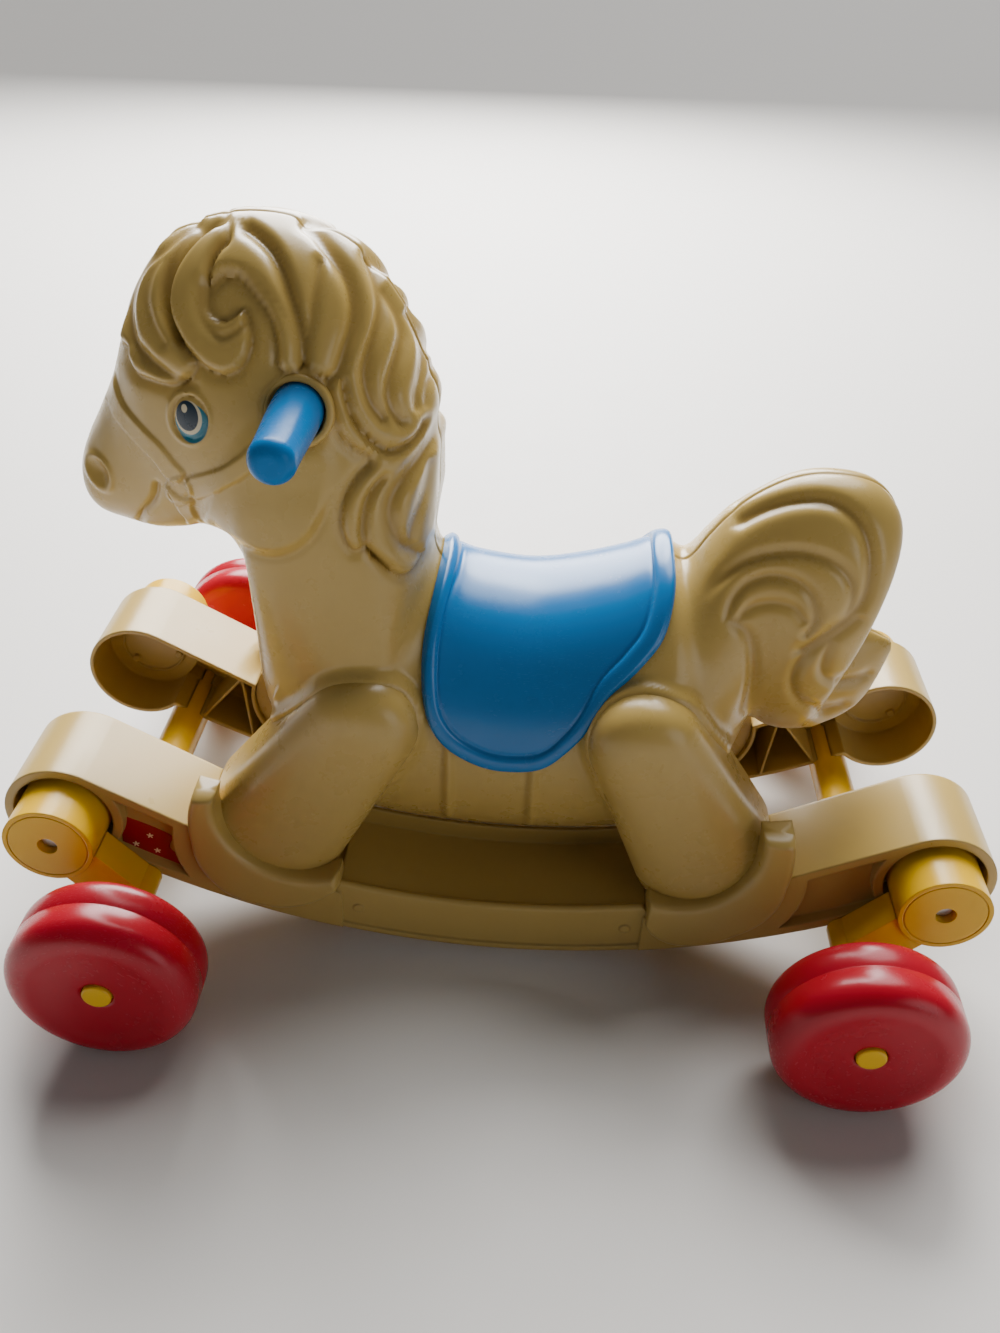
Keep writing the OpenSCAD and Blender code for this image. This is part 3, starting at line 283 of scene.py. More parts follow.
# Ribs of the girth and a fold of the chest as pixels of the photograph, with a line of painted shade in front
# of each rib
GIRTH_RIBS = ([(450, 725), (449, 770), (448, 855)], [(538, 725), (534, 775), (529, 855)])
RIB_SHARE, RIB_WIDTH, RIB_LINE_AT, RIB_LINE = 1.2, 4.5, (6.5, 0), (2.8, 2.4)
CHEST_FOLD, FOLD_RISE, FOLD_SLOPES = [(264, 660), (272, 688), (284, 712)], 2.0, (5, 7)
# Waves per metre of the finishes, shares of their darker and paler tones, and of the painted shade in the
# creases
DRIFT, CLOUD, RIPPLE, PATCHES, SCRATCHES = 9.0, 38.0, 55.0, 14.0, 260.0
DARK_SHARE, PALE_SHARE, PALE_LIFT = 0.80, 1.10, 0.012
CREASE_SHADE_SHARES = (0.50, 0.42, 0.32)
# Stage in metres; each light's size (an angle for the sun), its place and the height at which it aims
FLOOR_REACH = 40
LIGHTS = (
    ("sky_light", "SUN", math.radians(40), (0.3, 1.2, 2.0), 0.25),
    ("box_light", "AREA", 2.6, (-0.3, 2.3, 1.75), 0.25),
    ("fill_light", "AREA", 1.4, (1.8, -1.5, 0.8), 0.2),
)
WORLD_COLOUR, WORLD_STRENGTH = (0.95, 0.97, 1.0, 1.0), 0.12
SENSOR = 36.0


# Settings that a user would change

Length = partial(FloatProperty, min=0.0, subtype="DISTANCE", unit="LENGTH")
Colour = partial(FloatVectorProperty, size=3, min=0.0, max=1.0, subtype="COLOR")


class HorseSizes(PropertyGroup):
    """Heights and depths of the moulded detail"""

    lock_height: Length(
        name="Lock height", description="How far the mane stands off the head",
        default=4.2 * MM, max=6.0 * MM)
    lock_edge: Length(
        name="Lock edge", description="Drop of the face beside the mane",
        default=2.4 * MM, max=4.0 * MM)
    strap_height: Length(
        name="Strap height", description="Height of the bridle straps and the girth",
        default=2.0 * MM, max=3.0 * MM)
    seam_depth: Length(
        name="Seam depth", description="Depth of the groove where the body halves meet",
        default=1.2 * MM, max=2.0 * MM)
    leg_fillet: Length(
        name="Leg fillet", description="Rounding between the trunk and the legs",
        default=8.0 * MM, min=1.0 * MM, max=12.0 * MM)
    saddle_thickness: Length(
        name="Saddle thickness", description="Thickness of the saddle sheet",
        default=3.5 * MM, min=2.0 * MM, max=5.0 * MM)
    saddle_bead: Length(
        name="Saddle bead", description="Height of the rolled bead above the sheet",
        default=3.0 * MM, min=1.0 * MM, max=4.5 * MM)


class HorseColours(PropertyGroup):
    """Colours of the mouldings and of the painted eyes"""

    cream: Colour(name="Cream", description="Body and rails", default=(0.45, 0.305, 0.082))
    blue: Colour(name="Blue", description="Saddle and bar", default=(0.003, 0.145, 0.40))
    red: Colour(name="Red", description="Wheels", default=(0.38, 0.003, 0.016))
    yellow: Colour(name="Yellow", description="Swing frames and caps", default=(0.72, 0.42, 0.004))
    iris: Colour(name="Iris", description="Rim of the painted eye", default=(0.02, 0.17, 0.24))
    pupil: Colour(name="Pupil", description="Middle of the painted eye", default=(0.003, 0.020, 0.040))


class HorseStage(PropertyGroup):
    """Floor and lights"""

    floor: Colour(name="Floor", description="Colour of the floor", default=(0.62, 0.595, 0.56))
    sky_light: FloatProperty(
        name="Sky light", description="Strength of the broad light from behind and above",
        default=3.0, min=0.0)
    box_light: FloatProperty(
        name="Box light", description="Power of the soft box that shines in the gloss",
        default=350.0, min=0.0, unit="POWER")
    fill_light: FloatProperty(
        name="Fill light", description="Power of the light on the near side",
        default=9.0, min=0.0, unit="POWER")


# Curves and surfaces

def length_of(v):
    """Lengths of vectors."""
    return np.linalg.norm(v, axis=-1)


def unit(v):
    """Vectors of length 1 in the same directions."""
    return v / np.maximum(length_of(v)[..., None], TINY)


def graded(marks):
    """Numbers from mark to mark, with each mark's own count of equal steps to the next one."""
    runs = [np.linspace(a, b, steps, endpoint=False) for (a, steps), (b, _) in zip(marks, marks[1:])]
    return np.concatenate([*runs, [marks[-1][0]]])


def along(table, s):
    """Smooth curve through the table's rows: each value is a cubic of its four neighbouring rows."""
    s = np.asarray(s, float)
    last = len(table) - 1
    i = np.clip(np.floor(s).astype(int), 0, last - 1)
    f = (s - i)[..., None]
    a, b = table[np.clip(i - 1, 0, last)], table[i]
    c, d = table[i + 1], table[np.clip(i + 2, 0, last)]
    return b + f * ((c - a) + f * ((2 * a - 5 * b + 4 * c - d) + f * (3 * b - a - 3 * c + d))) / 2


def stations(s):
    """Rows of the side outline at stations s. Next to the nose and the tail tip the sizes grow with the
    square root of the distance, which rounds these two ends off."""
    s = np.asarray(s, float)
    rows = along(TRUNK, s)
    for end, step in ((0, 1), (len(TRUNK) - 1, -1)):
        tip, one, two = TRUNK[end], TRUNK[end + step], TRUNK[end + 2 * step]
        f = np.clip(np.abs(s - end), 0, 1)[..., None]
        rounded = tip + (one - tip) * np.sqrt(f) + (two - one) / 2 * f * (f - 1)
        rows = np.where(f < 1, rounded, rows)
    return rows


def skin(s, t, grow=0.0):
    """Left side of the body at station s and turn t, from belly (0) to back (1): half of a superellipse
    between the paired outline points, with the half width to the side, moved out by grow."""
    s, t = np.broadcast_arrays(np.asarray(s, float), np.asarray(t, float))
    row = stations(s)
    low, top, half = row[..., 0:2], row[..., 2:4], row[..., 4]
    step, last = 0.1, len(TRUNK) - 1
    run = stations(np.clip(s + step, 0, last)) - stations(np.clip(s - step, 0, last))
    run_low, run_top = unit(run[..., 0:2]), unit(run[..., 2:4])
    grow = np.asarray(grow, float)[..., None] * np.ones(2)
    low = low + grow * np.stack([run_low[..., 1], -run_low[..., 0]], -1)
    top = top + grow * np.stack([-run_top[..., 1], run_top[..., 0]], -1)
    c, q = np.cos(math.pi * t), np.abs(np.sin(math.pi * t))
    lift = np.sign(c) * np.abs(c) ** (2 / SECTION_POWER)
    side = q ** (2 / SECTION_POWER)
    mid = (low + top) / 2 - lift[..., None] * (top - low) / 2
    return np.stack([mid[..., 0], -(half + grow[..., 0]) * side, mid[..., 1]], -1)


def seen(points):
    """Pixel of the photograph where each point shows, by the pinhole rule."""
    d = points - VIEW_AT
    depth = d @ VIEW_AHEAD
    u = VIEW_SIZE[0] / 2 + VIEW_FOCUS * (d @ VIEW_RIGHT) / depth
    v = VIEW_SIZE[1] / 2 - VIEW_FOCUS * (d @ VIEW_UP) / depth
    return np.stack([u, v], -1)


def on_plane(pixels, y):
    """Point of the upright plane at this y behind each pixel."""
    q = np.array(pixels, float)
    ray = VIEW_AHEAD + ((q - VIEW_SIZE / 2) / VIEW_FOCUS) @ np.stack([VIEW_RIGHT, -VIEW_UP])
    return VIEW_AT + ((y - VIEW_AT[1]) / ray[:, 1])[:, None] * ray


def on_board(points, board):
    """Place of each point on a drawing board."""
    return (seen(points) - np.array(board[:2])) * board[2]


def traced(points, closed=False):
    """Smooth line through the given points, with six steps from point to point."""
    p = np.array(points, float)
    if closed:
        p = np.concatenate([p[-1:], p, p[:2]])
        return along(p, np.linspace(1, len(p) - 2, (len(p) - 3) * 6 + 1))
    return along(p, np.linspace(0, len(p) - 1, (len(p) - 1) * 6 + 1))


def line_gap(q, line):
    """Distance of the points q from a line, and on which side of it they lie (+1 right of its run)."""
    best = np.full(len(q), np.inf)
    side = np.ones(len(q))
    for a, b in zip(line[:-1], line[1:]):
        run = b - a
        d = q - a
        f = np.clip(d @ run / max(run @ run, TINY), 0, 1)
        off = d - f[:, None] * run
        gap = off[:, 0] ** 2 + off[:, 1] ** 2
        nearer = gap < best
        turn = np.sign(run[0] * d[:, 1] - run[1] * d[:, 0])
        best = np.where(nearer, gap, best)
        side = np.where(nearer, turn, side)
    return np.sqrt(best), side


def loop_depth(q, loop):
    """Distance of the points q inside a closed line, negative outside it: the nearest distance, with the
    sign from the number of times that a level ray crosses the line."""
    line = traced(loop, closed=True)
    gap, _ = line_gap(q, line)
    odd = np.zeros(len(q), bool)
    for a, b in zip(line[:-1], line[1:]):
        rise = b[1] - a[1]
        if abs(rise) > TINY:
            spans = (a[1] > q[:, 1]) != (b[1] > q[:, 1])
            odd ^= spans & (q[:, 0] < a[0] + (q[:, 1] - a[1]) / rise * (b[0] - a[0]))
    return np.where(odd, gap, -gap)


def swell(d, width):
    """0 at d = 0 up to 1 at d = width, along a quarter of a sine wave."""
    return np.sin(math.pi / 2 * np.clip(d / width, 0, 1))


def ease(x, low, high):
    """0 below low, 1 above high, an S curve between."""
    f = np.clip((x - low) / (high - low), 0, 1)
    return f * f * (3 - 2 * f)


def bell(x, width):
    """1 at x = 0, falling to 0 on both sides as the power of e to minus the square of x over the width."""
    return np.exp(-(x / width) ** 2)


def rings(r, rows):
    """Sum of ring-shaped swells round a centre at distance r, each a bell of its own height and width."""
    return sum(rise * bell(r - at, width) for rise, at, width in rows)


def valley(q, points, left, right):
    """1 on a line and falling to 0 on both sides as a bell, of its own width on each side."""
    gap, side = line_gap(q, traced(points))
    return bell(gap, np.where(side > 0, right, left))


def grooves(q, strands):
    """Depth in mm of the grooves between strands at board points q, the deepest one at each place, and the
    lines of painted shade in their beds, which are stronger in deeper grooves."""
    cuts, lines = [], []
    for points, depth, left, right in strands:
        groove = valley(q, points, left, right)
        cuts.append(depth * groove)
        lines.append(np.clip(depth / LINE_DEPTH, 0, 1) * groove ** 4)
    return np.max(cuts, axis=0), np.max(lines, axis=0)


def turned_off(q, at, turn):
    """Places of q seen from a centre, on axes turned by so many degrees."""
    d = q - np.array(at)
    c, s = math.cos(math.radians(turn)), math.sin(math.radians(turn))
    return np.stack([d[:, 0] * c + d[:, 1] * s, d[:, 1] * c - d[:, 0] * s], -1)


def head_relief(q, sizes):
    """Height in mm of the moulded head at board points q, and how much painted crease shade each one gets.
    The locks are loops that swell from their edges, less the grooves between strands;
    straps are low loops; eye, nostril and rosette are rings and hollows around their centres."""
    height, edge = sizes.lock_height / MM, sizes.lock_edge / MM
    deep = np.max([loop_depth(q, loop) for loop in (FORELOCK, COMMA, MANE)], axis=0)
    hair = (deep > 0).astype(float)
    face = 1 - hair
    raised = -edge + (height + edge) * swell(deep, LOCK_SLOPE)
    h = np.where(deep > 0, raised, -edge * bell(deep, FACE_SLOPE))
    # Painted shade: a dark line at the foot of the locks, and further down at the straps, rosette, eye,
    # nostril, mouth and jaw
    crease = bell(deep, LOCK_LINE)
    pit = turned_off(q, PIT_AT, 0) / np.array(PIT_SIZE)
    h -= face * PIT_DEPTH * np.exp(-np.sum(pit ** 2, -1))
    cut, lines = grooves(q, STRANDS)
    h -= hair * cut * height / STRAND_HEIGHT
    crease = np.maximum(crease, hair * lines)
    crown = ease(length_of(q - np.array(CROWN_AT)), *CROWN_REACH)
    h = height - (height - h) * crown
    creases = [crease * crown]
    straps = np.max([loop_depth(q, loop) for loop in (NOSEBAND, CHEEK_STRAP, CHIN_STRAP)], axis=0)
    h += face * sizes.strap_height / MM * ease(straps, *STRAP_EDGE)
    creases.append(face * 0.5 * bell(straps + 3, 4))
    disc = length_of(q - np.array(ROSETTE_AT))
    h += ROSETTE_RISE * (1 - ease(disc, *ROSETTE_EDGE)) + rings(disc, ROSETTE_RINGS)
    creases.append(0.5 * bell(disc - ROSETTE_EDGE[1], 4))
    eye = length_of(turned_off(q, EYE_AT, EYE_TURN) / np.array(EYE_SIZE))
    h += face * rings(eye, EYE_RINGS)
    h += face * EYE_DOME * np.clip(1 - (eye / 0.8) ** 2, 0, 1)
    creases.append(face * 0.7 * bell(eye - 0.87, 0.05))
    nose = turned_off(q, NOSTRIL_AT, NOSTRIL_TURN)
    hole = length_of(nose / np.array(NOSTRIL_SIZE))
    h += rings(hole, NOSTRIL_RINGS)
    creases.append(0.8 * bell(hole - 0.45, 0.4) * (nose[:, 0] > 0))
    lips = valley(q, MOUTH, *MOUTH_SLOPES)
    h -= MOUTH_DEPTH * lips
    creases.append(0.9 * lips ** 2)
    h -= face * BROW_DEPTH * valley(q, BROW, *BROW_SLOPES)
    jaw = loop_depth(q, JAW)
    under = ease(q[:, 1], *JAW_LEVELS)
    h += face * (1 - under) * JAW_SOFT_RISE * ease(jaw, *JAW_SOFT)
    h += face * under * (JAW_HARD_RISE * ease(jaw, *JAW_HARD) - JAW_GROOVE * bell(jaw + 14, 12))
    creases.append(face * under * 0.16 * bell(jaw + 8, 8))
    return h, np.max(creases, axis=0)


def saddle_skin(s, t, side, grow):
    """The body's skin grown by a distance, with the columns whose side is -1 mirrored to the right."""
    return skin(s, t, grow) * np.stack([np.ones(len(side)), side, np.ones(len(side))], -1)


def outward(grid):
    """Unit normals of a grid of points, from the cross product of its two directions."""
    return unit(np.cross(np.gradient(grid, axis=0), np.gradient(grid, axis=1)))


def leg_gap(points, hip, foot):
    """Distance in the side view outside a leg's outline, a capsule that widens from the hip to the foot."""
    run = foot - hip
    q = points[..., [0, 2]] - hip
    length = length_of(run)
    f = q @ run / length ** 2
    across = np.abs(q[..., 0] * run[1] - q[..., 1] * run[0]) / length
    f = np.clip(f + across * (FOOT_R - HIP_R) / length ** 2, 0, 1)
    return length_of(q - f[..., None] * run) - (HIP_R + (FOOT_R - HIP_R) * f)


def trunk_grid(sizes):
    """Left half of the trunk: the body's skin on a grid of stations and turns, moved along its normal by
    the moulded relief, with a groove at the seam, a fillet round the legs that falls with the square of the
    distance, and the halves pinched together in the notch above the tail's tip."""
    s = graded(TRUNK_ROWS)
    u = np.linspace(*SIDE_TURNS)
    spread = u + 0.5 * np.sin(2 * math.pi * u) / (2 * math.pi)
    t = np.concatenate([SEAM_TURNS, spread, 1 - SEAM_TURNS[::-1]])
    ss, tt = np.meshgrid(s, t, indexing="ij")
    p = skin(ss, tt)
    n = outward(p)
    if n[len(s) // 2, len(t) // 2, 1] > 0:
        n = -n
    toward = VIEW_AT - p
    shown = ease(np.sum(n * toward, -1) / length_of(toward), *FACING)
    # Crease: share of painted shade at each point, for the tail's grooves, the girth, the ring round the
    # bar's hole and the seam line
    h = np.zeros(ss.shape)
    crease = np.zeros(ss.shape)
    board = on_board(p, HEAD_BOARD)
    part = ss < HEAD_FADE[1]
    rise, fold = head_relief(board[part], sizes)
    fade = shown[part] * (1 - ease(ss[part], *HEAD_FADE))
    h[part] += rise * fade
    crease[part] = fold * fade
    part = ss > TAIL_FADE[0]
    cut, fold = grooves(on_board(p[part], TAIL_BOARD), TAIL_STRANDS)
    fade = shown[part] * ease(ss[part], *TAIL_FADE)
    h[part] += (TAIL_RISE - cut) * fade
    crease[part] = fold * fade
    part = (ss > MIDDLE[0]) & (ss < MIDDLE[1])
    plain = on_board(p[part], PLAIN_BOARD)
    for rib in GIRTH_RIBS:
        rise = RIB_SHARE * sizes.strap_height / MM * valley(plain, rib, RIB_WIDTH, RIB_WIDTH)
        h[part] += shown[part] * rise
        # Painted shade: a dark line in front of each rib
        beside = valley(plain, np.array(rib) - np.array(RIB_LINE_AT), *RIB_LINE)
        crease[part] = np.maximum(crease[part], 0.9 * shown[part] * beside)
    h[part] += shown[part] * FOLD_RISE * valley(plain, CHEST_FOLD, *FOLD_SLOPES)
    around = length_of(p - BAR_AT)
    lip = HOLE_R + LIP_WALL
    h = h * ease(around - lip, *LIP_FADE) - HOLE_DEPTH * (1 - ease(around, *HOLE_WALL))
    crease = np.maximum(crease, 0.8 * bell(around - lip - 1, 1.2))
    fillet = sizes.leg_fillet / MM
    for hip, foot in LEGS:
        gap = np.clip(leg_gap(p, hip, foot), 0, fillet)
        h += fillet * (1 - gap / fillet) ** 2 * ease(-p[..., 1], *LEG_ROOT)
    h -= sizes.seam_depth / MM * bell(p[..., 1], SEAM_WIDTH)
    crease = np.maximum(crease, 0.9 * bell(p[..., 1], SEAM_LINE))
    p = p + n * h[..., None]
    notch = ease(ss, *NOTCH_START) * (1 - ease(ss, *NOTCH_STOP)) * ease(tt, *NOTCH_TURNS)
    p[..., 1] = np.minimum(p[..., 1], 0) * (1 - notch)
    p[:, [0, -1], 1] = 0
    return p, board, np.clip(crease, 0, 1)


def leg_grid(hip, foot):
    """A leg as a pillow: offsets r of a capsule outline about its middle line, with a flat inner side, an
    upright wall and an outer face whose height h follows r^n + h^n = 1."""
    run = foot - hip
    length = length_of(run)
    turn = math.atan2(run[1], run[0])
    lean = math.pi / 2 + math.asin((FOOT_R - HIP_R) / length)
    at_foot, at_hip, beside, under, wall, over = 56, 44, 16, 4, 5, 36
    low = np.linspace(turn - lean, turn + lean, at_foot)
    high = np.linspace(turn + lean, turn + 2 * math.pi - lean, at_hip)
    f = np.linspace(0, 1, beside + 2)[1:-1]
    angle = np.concatenate([low, np.full(beside, turn + lean), high, np.full(beside, turn - lean)])
    share = np.concatenate([np.ones(at_foot), 1 - f, np.zeros(at_hip), f])
    middle = hip + share[:, None] * run
    radius = HIP_R + (FOOT_R - HIP_R) * share
    psi = np.linspace(0, math.pi / 2, over)
    bulge = 0.5 + 0.5 * np.sin(psi) ** (2 / LEG_POWER)
    r = np.concatenate([np.linspace(0, 1, under), np.ones(wall), np.cos(psi) ** (2 / LEG_POWER)])
    y = np.concatenate([np.zeros(under), np.linspace(0.08, 0.44, wall), bulge])
    out = np.stack([np.cos(angle), np.sin(angle)], -1) * radius[:, None]
    flat = middle[None] + r[:, None, None] * out[None]
    depth = -(LEG_INNER + (LEG_OUTER - LEG_INNER) * y)[:, None] * np.ones(len(angle))
    return np.stack([flat[..., 0], depth, flat[..., 1]], -1)


def hoof_grid(hip, foot, outer, rim):
    """A hoof as a band from its outer edge to its rim on the leg: one profile, rounded at both edges,
    set between the two lines at each place along them, and eased down at both ends. The edge keeps outside
    a circle round the foot and the rim inside one round a point up the leg."""
    middle = foot + RIM_RISE * unit(hip - foot)
    f = np.linspace(0, len(outer) - 1, 90)
    o, i = along(outer, f), along(rim, f)
    o = foot + (o - foot) * np.maximum(1, HOOF_R / length_of(o - foot)[:, None])
    i = middle + (i - middle) * np.minimum(1, RIM_R / length_of(i - middle)[:, None])
    wide = length_of(i - o)
    fit = np.minimum(1, wide / HOOF_WIDTH)[:, None]
    d = np.concatenate([HOOF_EDGE[:, 0] * fit, wide[:, None] - HOOF_RIM[:, 0] * fit], axis=1)
    gone = np.concatenate([[0], np.cumsum(length_of(np.diff(o, axis=0)))])
    full = swell(np.minimum(gone, gone[-1] - gone), HOOF_END)[:, None]
    share = HOOF_END_SHARE + (1 - HOOF_END_SHARE) * full
    y = np.concatenate([HOOF_EDGE[:, 1], HOOF_RIM[:, 1]])
    y = np.where(y > HOOF_FLOOR, HOOF_FLOOR + (y - HOOF_FLOOR) * share, y)
    run = (i - o) / wide[:, None]
    flat = o[:, None] + d[..., None] * run[:, None]
    return np.stack([flat[..., 0], -y * np.ones(d.shape), flat[..., 1]], -1)


def lathe(profile, turns):
    """A profile of radius and height turned round the Y axis."""
    a = np.linspace(0, 2 * math.pi, turns, endpoint=False)
    r, y = profile[:, 0][:, None], profile[:, 1][:, None]
    return np.stack([r * np.cos(a), y + 0 * a, r * np.sin(a)], -1)


def arc(centre, radius, start, stop, steps):
    """Points of a circle's arc, angles in degrees."""
    a = np.radians(np.linspace(start, stop, steps))
    return np.stack([centre[0] + radius * np.cos(a), centre[1] + radius * np.sin(a)], -1)


class Shell:
    """A closed grid of points whose columns join round. Its first and last rows close with a fan, or meet
    each other in a ring, or are lines that have already closed on themselves."""

    def __init__(self, grid, ends="fan", extra=None):
        rows, columns = grid.shape[:2]
        end = (rows - 1) * columns
        i = np.arange(0, end, columns)[:, None]
        j = np.arange(columns)
        k = (j + 1) % columns
        self.points = grid.reshape(-1, 3)
        self.quads = np.stack([i + j, i + columns + j, i + columns + k, i + k], -1).reshape(-1, 4)
        self.fans = np.zeros((0, 3), int)
        self.extra = {name: values.reshape(rows * columns, -1) for name, values in (extra or {}).items()}
        if ends == "ring":
            self.quads = np.concatenate([self.quads, np.stack([end + j, j, k, end + k], -1)])
        if ends == "fan":
            at = len(self.points)
            self.points = np.concatenate([self.points, [grid[0].mean(0)], [grid[-1].mean(0)]])
            self.fans = np.concatenate([
                np.stack([np.full(columns, at), j, k], -1),
                np.stack([np.full(columns, at + 1), end + k, end + j], -1)])
            for name, values in self.extra.items():
                tips = [values[:columns].mean(0), values[end:].mean(0)]
                self.extra[name] = np.concatenate([values, tips])


def make_piece(name, shells, material, sharp=60.0):
    """One mesh of all shells, in metres, with doubles merged, faces turned outwards and smooth shading
    that breaks at edges sharper than the angle. Extra values become point attributes."""
    points = np.concatenate([s.points for s in shells]) * MM
    starts = np.cumsum([0] + [len(s.points) for s in shells[:-1]])
    faces = []
    for shell, start in zip(shells, starts):
        faces += (shell.quads + start).tolist()
        faces += (shell.fans + start).tolist()
    mesh = bpy.data.meshes.new(name)
    mesh.from_pydata(points.tolist(), [], faces)
    names = sorted({key for shell in shells for key in shell.extra})
    for key in names:
        wide = next(shell.extra[key].shape[1] for shell in shells if key in shell.extra)
        values = np.concatenate([s.extra.get(key, np.zeros((len(s.points), wide))) for s in shells])
        kind = "FLOAT" if wide == 1 else "FLOAT2"
        layer = mesh.attributes.new(key, kind, "POINT")
        layer.data.foreach_set("value" if wide == 1 else "vector", values.astype(np.float32).ravel())
    work = bmesh.new()
    work.from_mesh(mesh)
    bmesh.ops.remove_doubles(work, verts=work.verts, dist=MERGE_DISTANCE)
    bmesh.ops.dissolve_degenerate(work, edges=work.edges, dist=0.1 * MERGE_DISTANCE)
    bmesh.ops.recalc_face_normals(work, faces=work.faces)
    work.to_mesh(mesh)
    work.free()
    mesh.shade_smooth()
    mesh.set_sharp_from_angle(angle=math.radians(sharp))
    mesh.materials.append(material)
    piece = bpy.data.objects.new(name, mesh)
    bpy.context.scene.collection.objects.link(piece)
    return piece


def on_side(grid, sign):
    """The grid as it is, or its mirror image on the other side where the sign is -1."""
    return grid * np.array([1, sign, 1])


# Finishes

class Value:
    """One output of a shader node; arithmetic on it adds Math nodes to its finish."""

    def __init__(self, finish, socket):
        self.finish = finish
        self.socket = socket

    def _with(self, other, operation):
        return self.finish.operate(operation, self, other)

    __add__ = __radd__ = partialmethod(_with, operation="ADD")
    __sub__ = partialmethod(_with, operation="SUBTRACT")
    __mul__ = partialmethod(_with, operation="MULTIPLY")
    __truediv__ = partialmethod(_with, operation="DIVIDE")
    __pow__ = partialmethod(_with, operation="POWER")


class Finish:
    """A material under construction."""

    def __init__(self, name):
        self.material = bpy.data.materials.new(name)
        self.material.use_nodes = True
        self.tree = self.material.node_tree
        self.shader = self.tree.nodes["Principled BSDF"]

    def wire(self, socket, value):
        """Sets a socket to a number or colour, or links it to another node's output."""
        if isinstance(value, Value):
            self.tree.links.new(value.socket, socket)
        else:
            socket.default_value = value

    def node(self, kind, settings=None, sockets=None, output=0):
        """A node of any kind, with its settings first and then its sockets; gives one of its outputs."""
        made = self.tree.nodes.new(kind)
        for key, value in (settings or {}).items():
            setattr(made, key, value)
        for key, value in (sockets or {}).items():
            self.wire(made.inputs[key], value)
        return Value(self, made.outputs[output])

    def surface(self, sockets):
        """Sets or links sockets of the shader."""
        for key, value in sockets.items():
            self.wire(self.shader.inputs[key], value)

    def operate(self, operation, *values):
        """A Math node on one or two values."""
        return self.node("ShaderNodeMath", {"operation": operation}, dict(enumerate(values)))

    def split(self, vector):
        """The three parts of a vector."""
        parts = self.node("ShaderNodeSeparateXYZ", None, {0: vector})
        return [Value(self, part) for part in parts.socket.node.outputs]

    def place(self):
        """Object coordinates."""
        return self.node("ShaderNodeTexCoord", output="Object")

    def mix(self, mask, first, second):
        """Colour that goes from the first to the second with the mask."""
        full = lambda c: c if isinstance(c, Value) else (*c[:3], 1.0)
        sockets = {0: mask, 6: full(first), 7: full(second)}
        return self.node("ShaderNodeMix", {"data_type": "RGBA"}, sockets, output=2)

    def noise(self, scale, detail, roughness=0.5, at=None):
        """Cloudy noise from 0 to 1, scale in waves per metre."""
        sockets = {"Vector": at or self.place(), "Scale": scale, "Detail": detail, "Roughness": roughness}
        return self.node("ShaderNodeTexNoise", None, sockets)

    def step(self, value, low, high):
        """0 below low, 1 above high, an S curve between."""
        sockets = {"Value": value, "From Min": low, "From Max": high}
        return self.node("ShaderNodeMapRange", {"interpolation_type": "SMOOTHSTEP"}, sockets)

    def length(self, x, y):
        """Length of the two sides."""
        return (x * x + y * y) ** 0.5

    def scuffs(self):
        """Fine short scratches: the crests of a noise that is stretched along one way, in patches."""
        stretch = {"Vector": self.place(), "Rotation": (0.4, 0.7, 0.3), "Scale": (1, 12, 1)}
        at = self.node("ShaderNodeMapping", None, stretch)
        lines = self.step(self.noise(SCRATCHES, 1.0, 0.4, at), 0.66, 0.72)
        patches = self.step(self.noise(PATCHES, 2.0), 0.52, 0.66)
        return lines * patches

    def plastic(self, colour, rough, grain, paint=None, bevel=0.0, shine=0.45):
        """Moulded plastic: a slow drift of tone, scuffs and clouds on colour and gloss, and a fine skin.
        Rough is for clean plastic, grain counts the skin's waves per metre, bevel is the rounding of hard
        edges in metres and shine the strength of the reflection."""
        drift = self.noise(DRIFT, 3.0)
        cloud = self.noise(CLOUD, 4.0, 0.6)
        scuffs = self.scuffs()
        dark = [DARK_SHARE * c for c in colour]
        pale = [min(1.0, PALE_SHARE * c + PALE_LIFT) for c in colour]
        toned = self.mix(self.step(drift, 0.35, 0.75) * 0.30, colour, pale)
        toned = self.mix(self.step(cloud, 0.50, 0.80) * 0.16, toned, dark)
        toned = self.mix(scuffs * 0.30, toned, pale)
        if paint:
            toned = paint(toned)
        fine = self.noise(grain, 2.0)
        ripple = self.noise(RIPPLE, 1.0)
        inputs = {"Strength": 0.10, "Distance": 0.6 * MM, "Height": fine * 0.4 + ripple + scuffs * -0.25}
        if bevel:
            inputs["Normal"] = self.node("ShaderNodeBevel", {"samples": 6}, {"Radius": bevel})
        bump = self.node("ShaderNodeBump", None, inputs)
        worn = rough + cloud * 0.12 + scuffs * 0.22
        self.surface({"Base Color": toned, "Roughness": worn, "Normal": bump, "Specular IOR Level": shine})


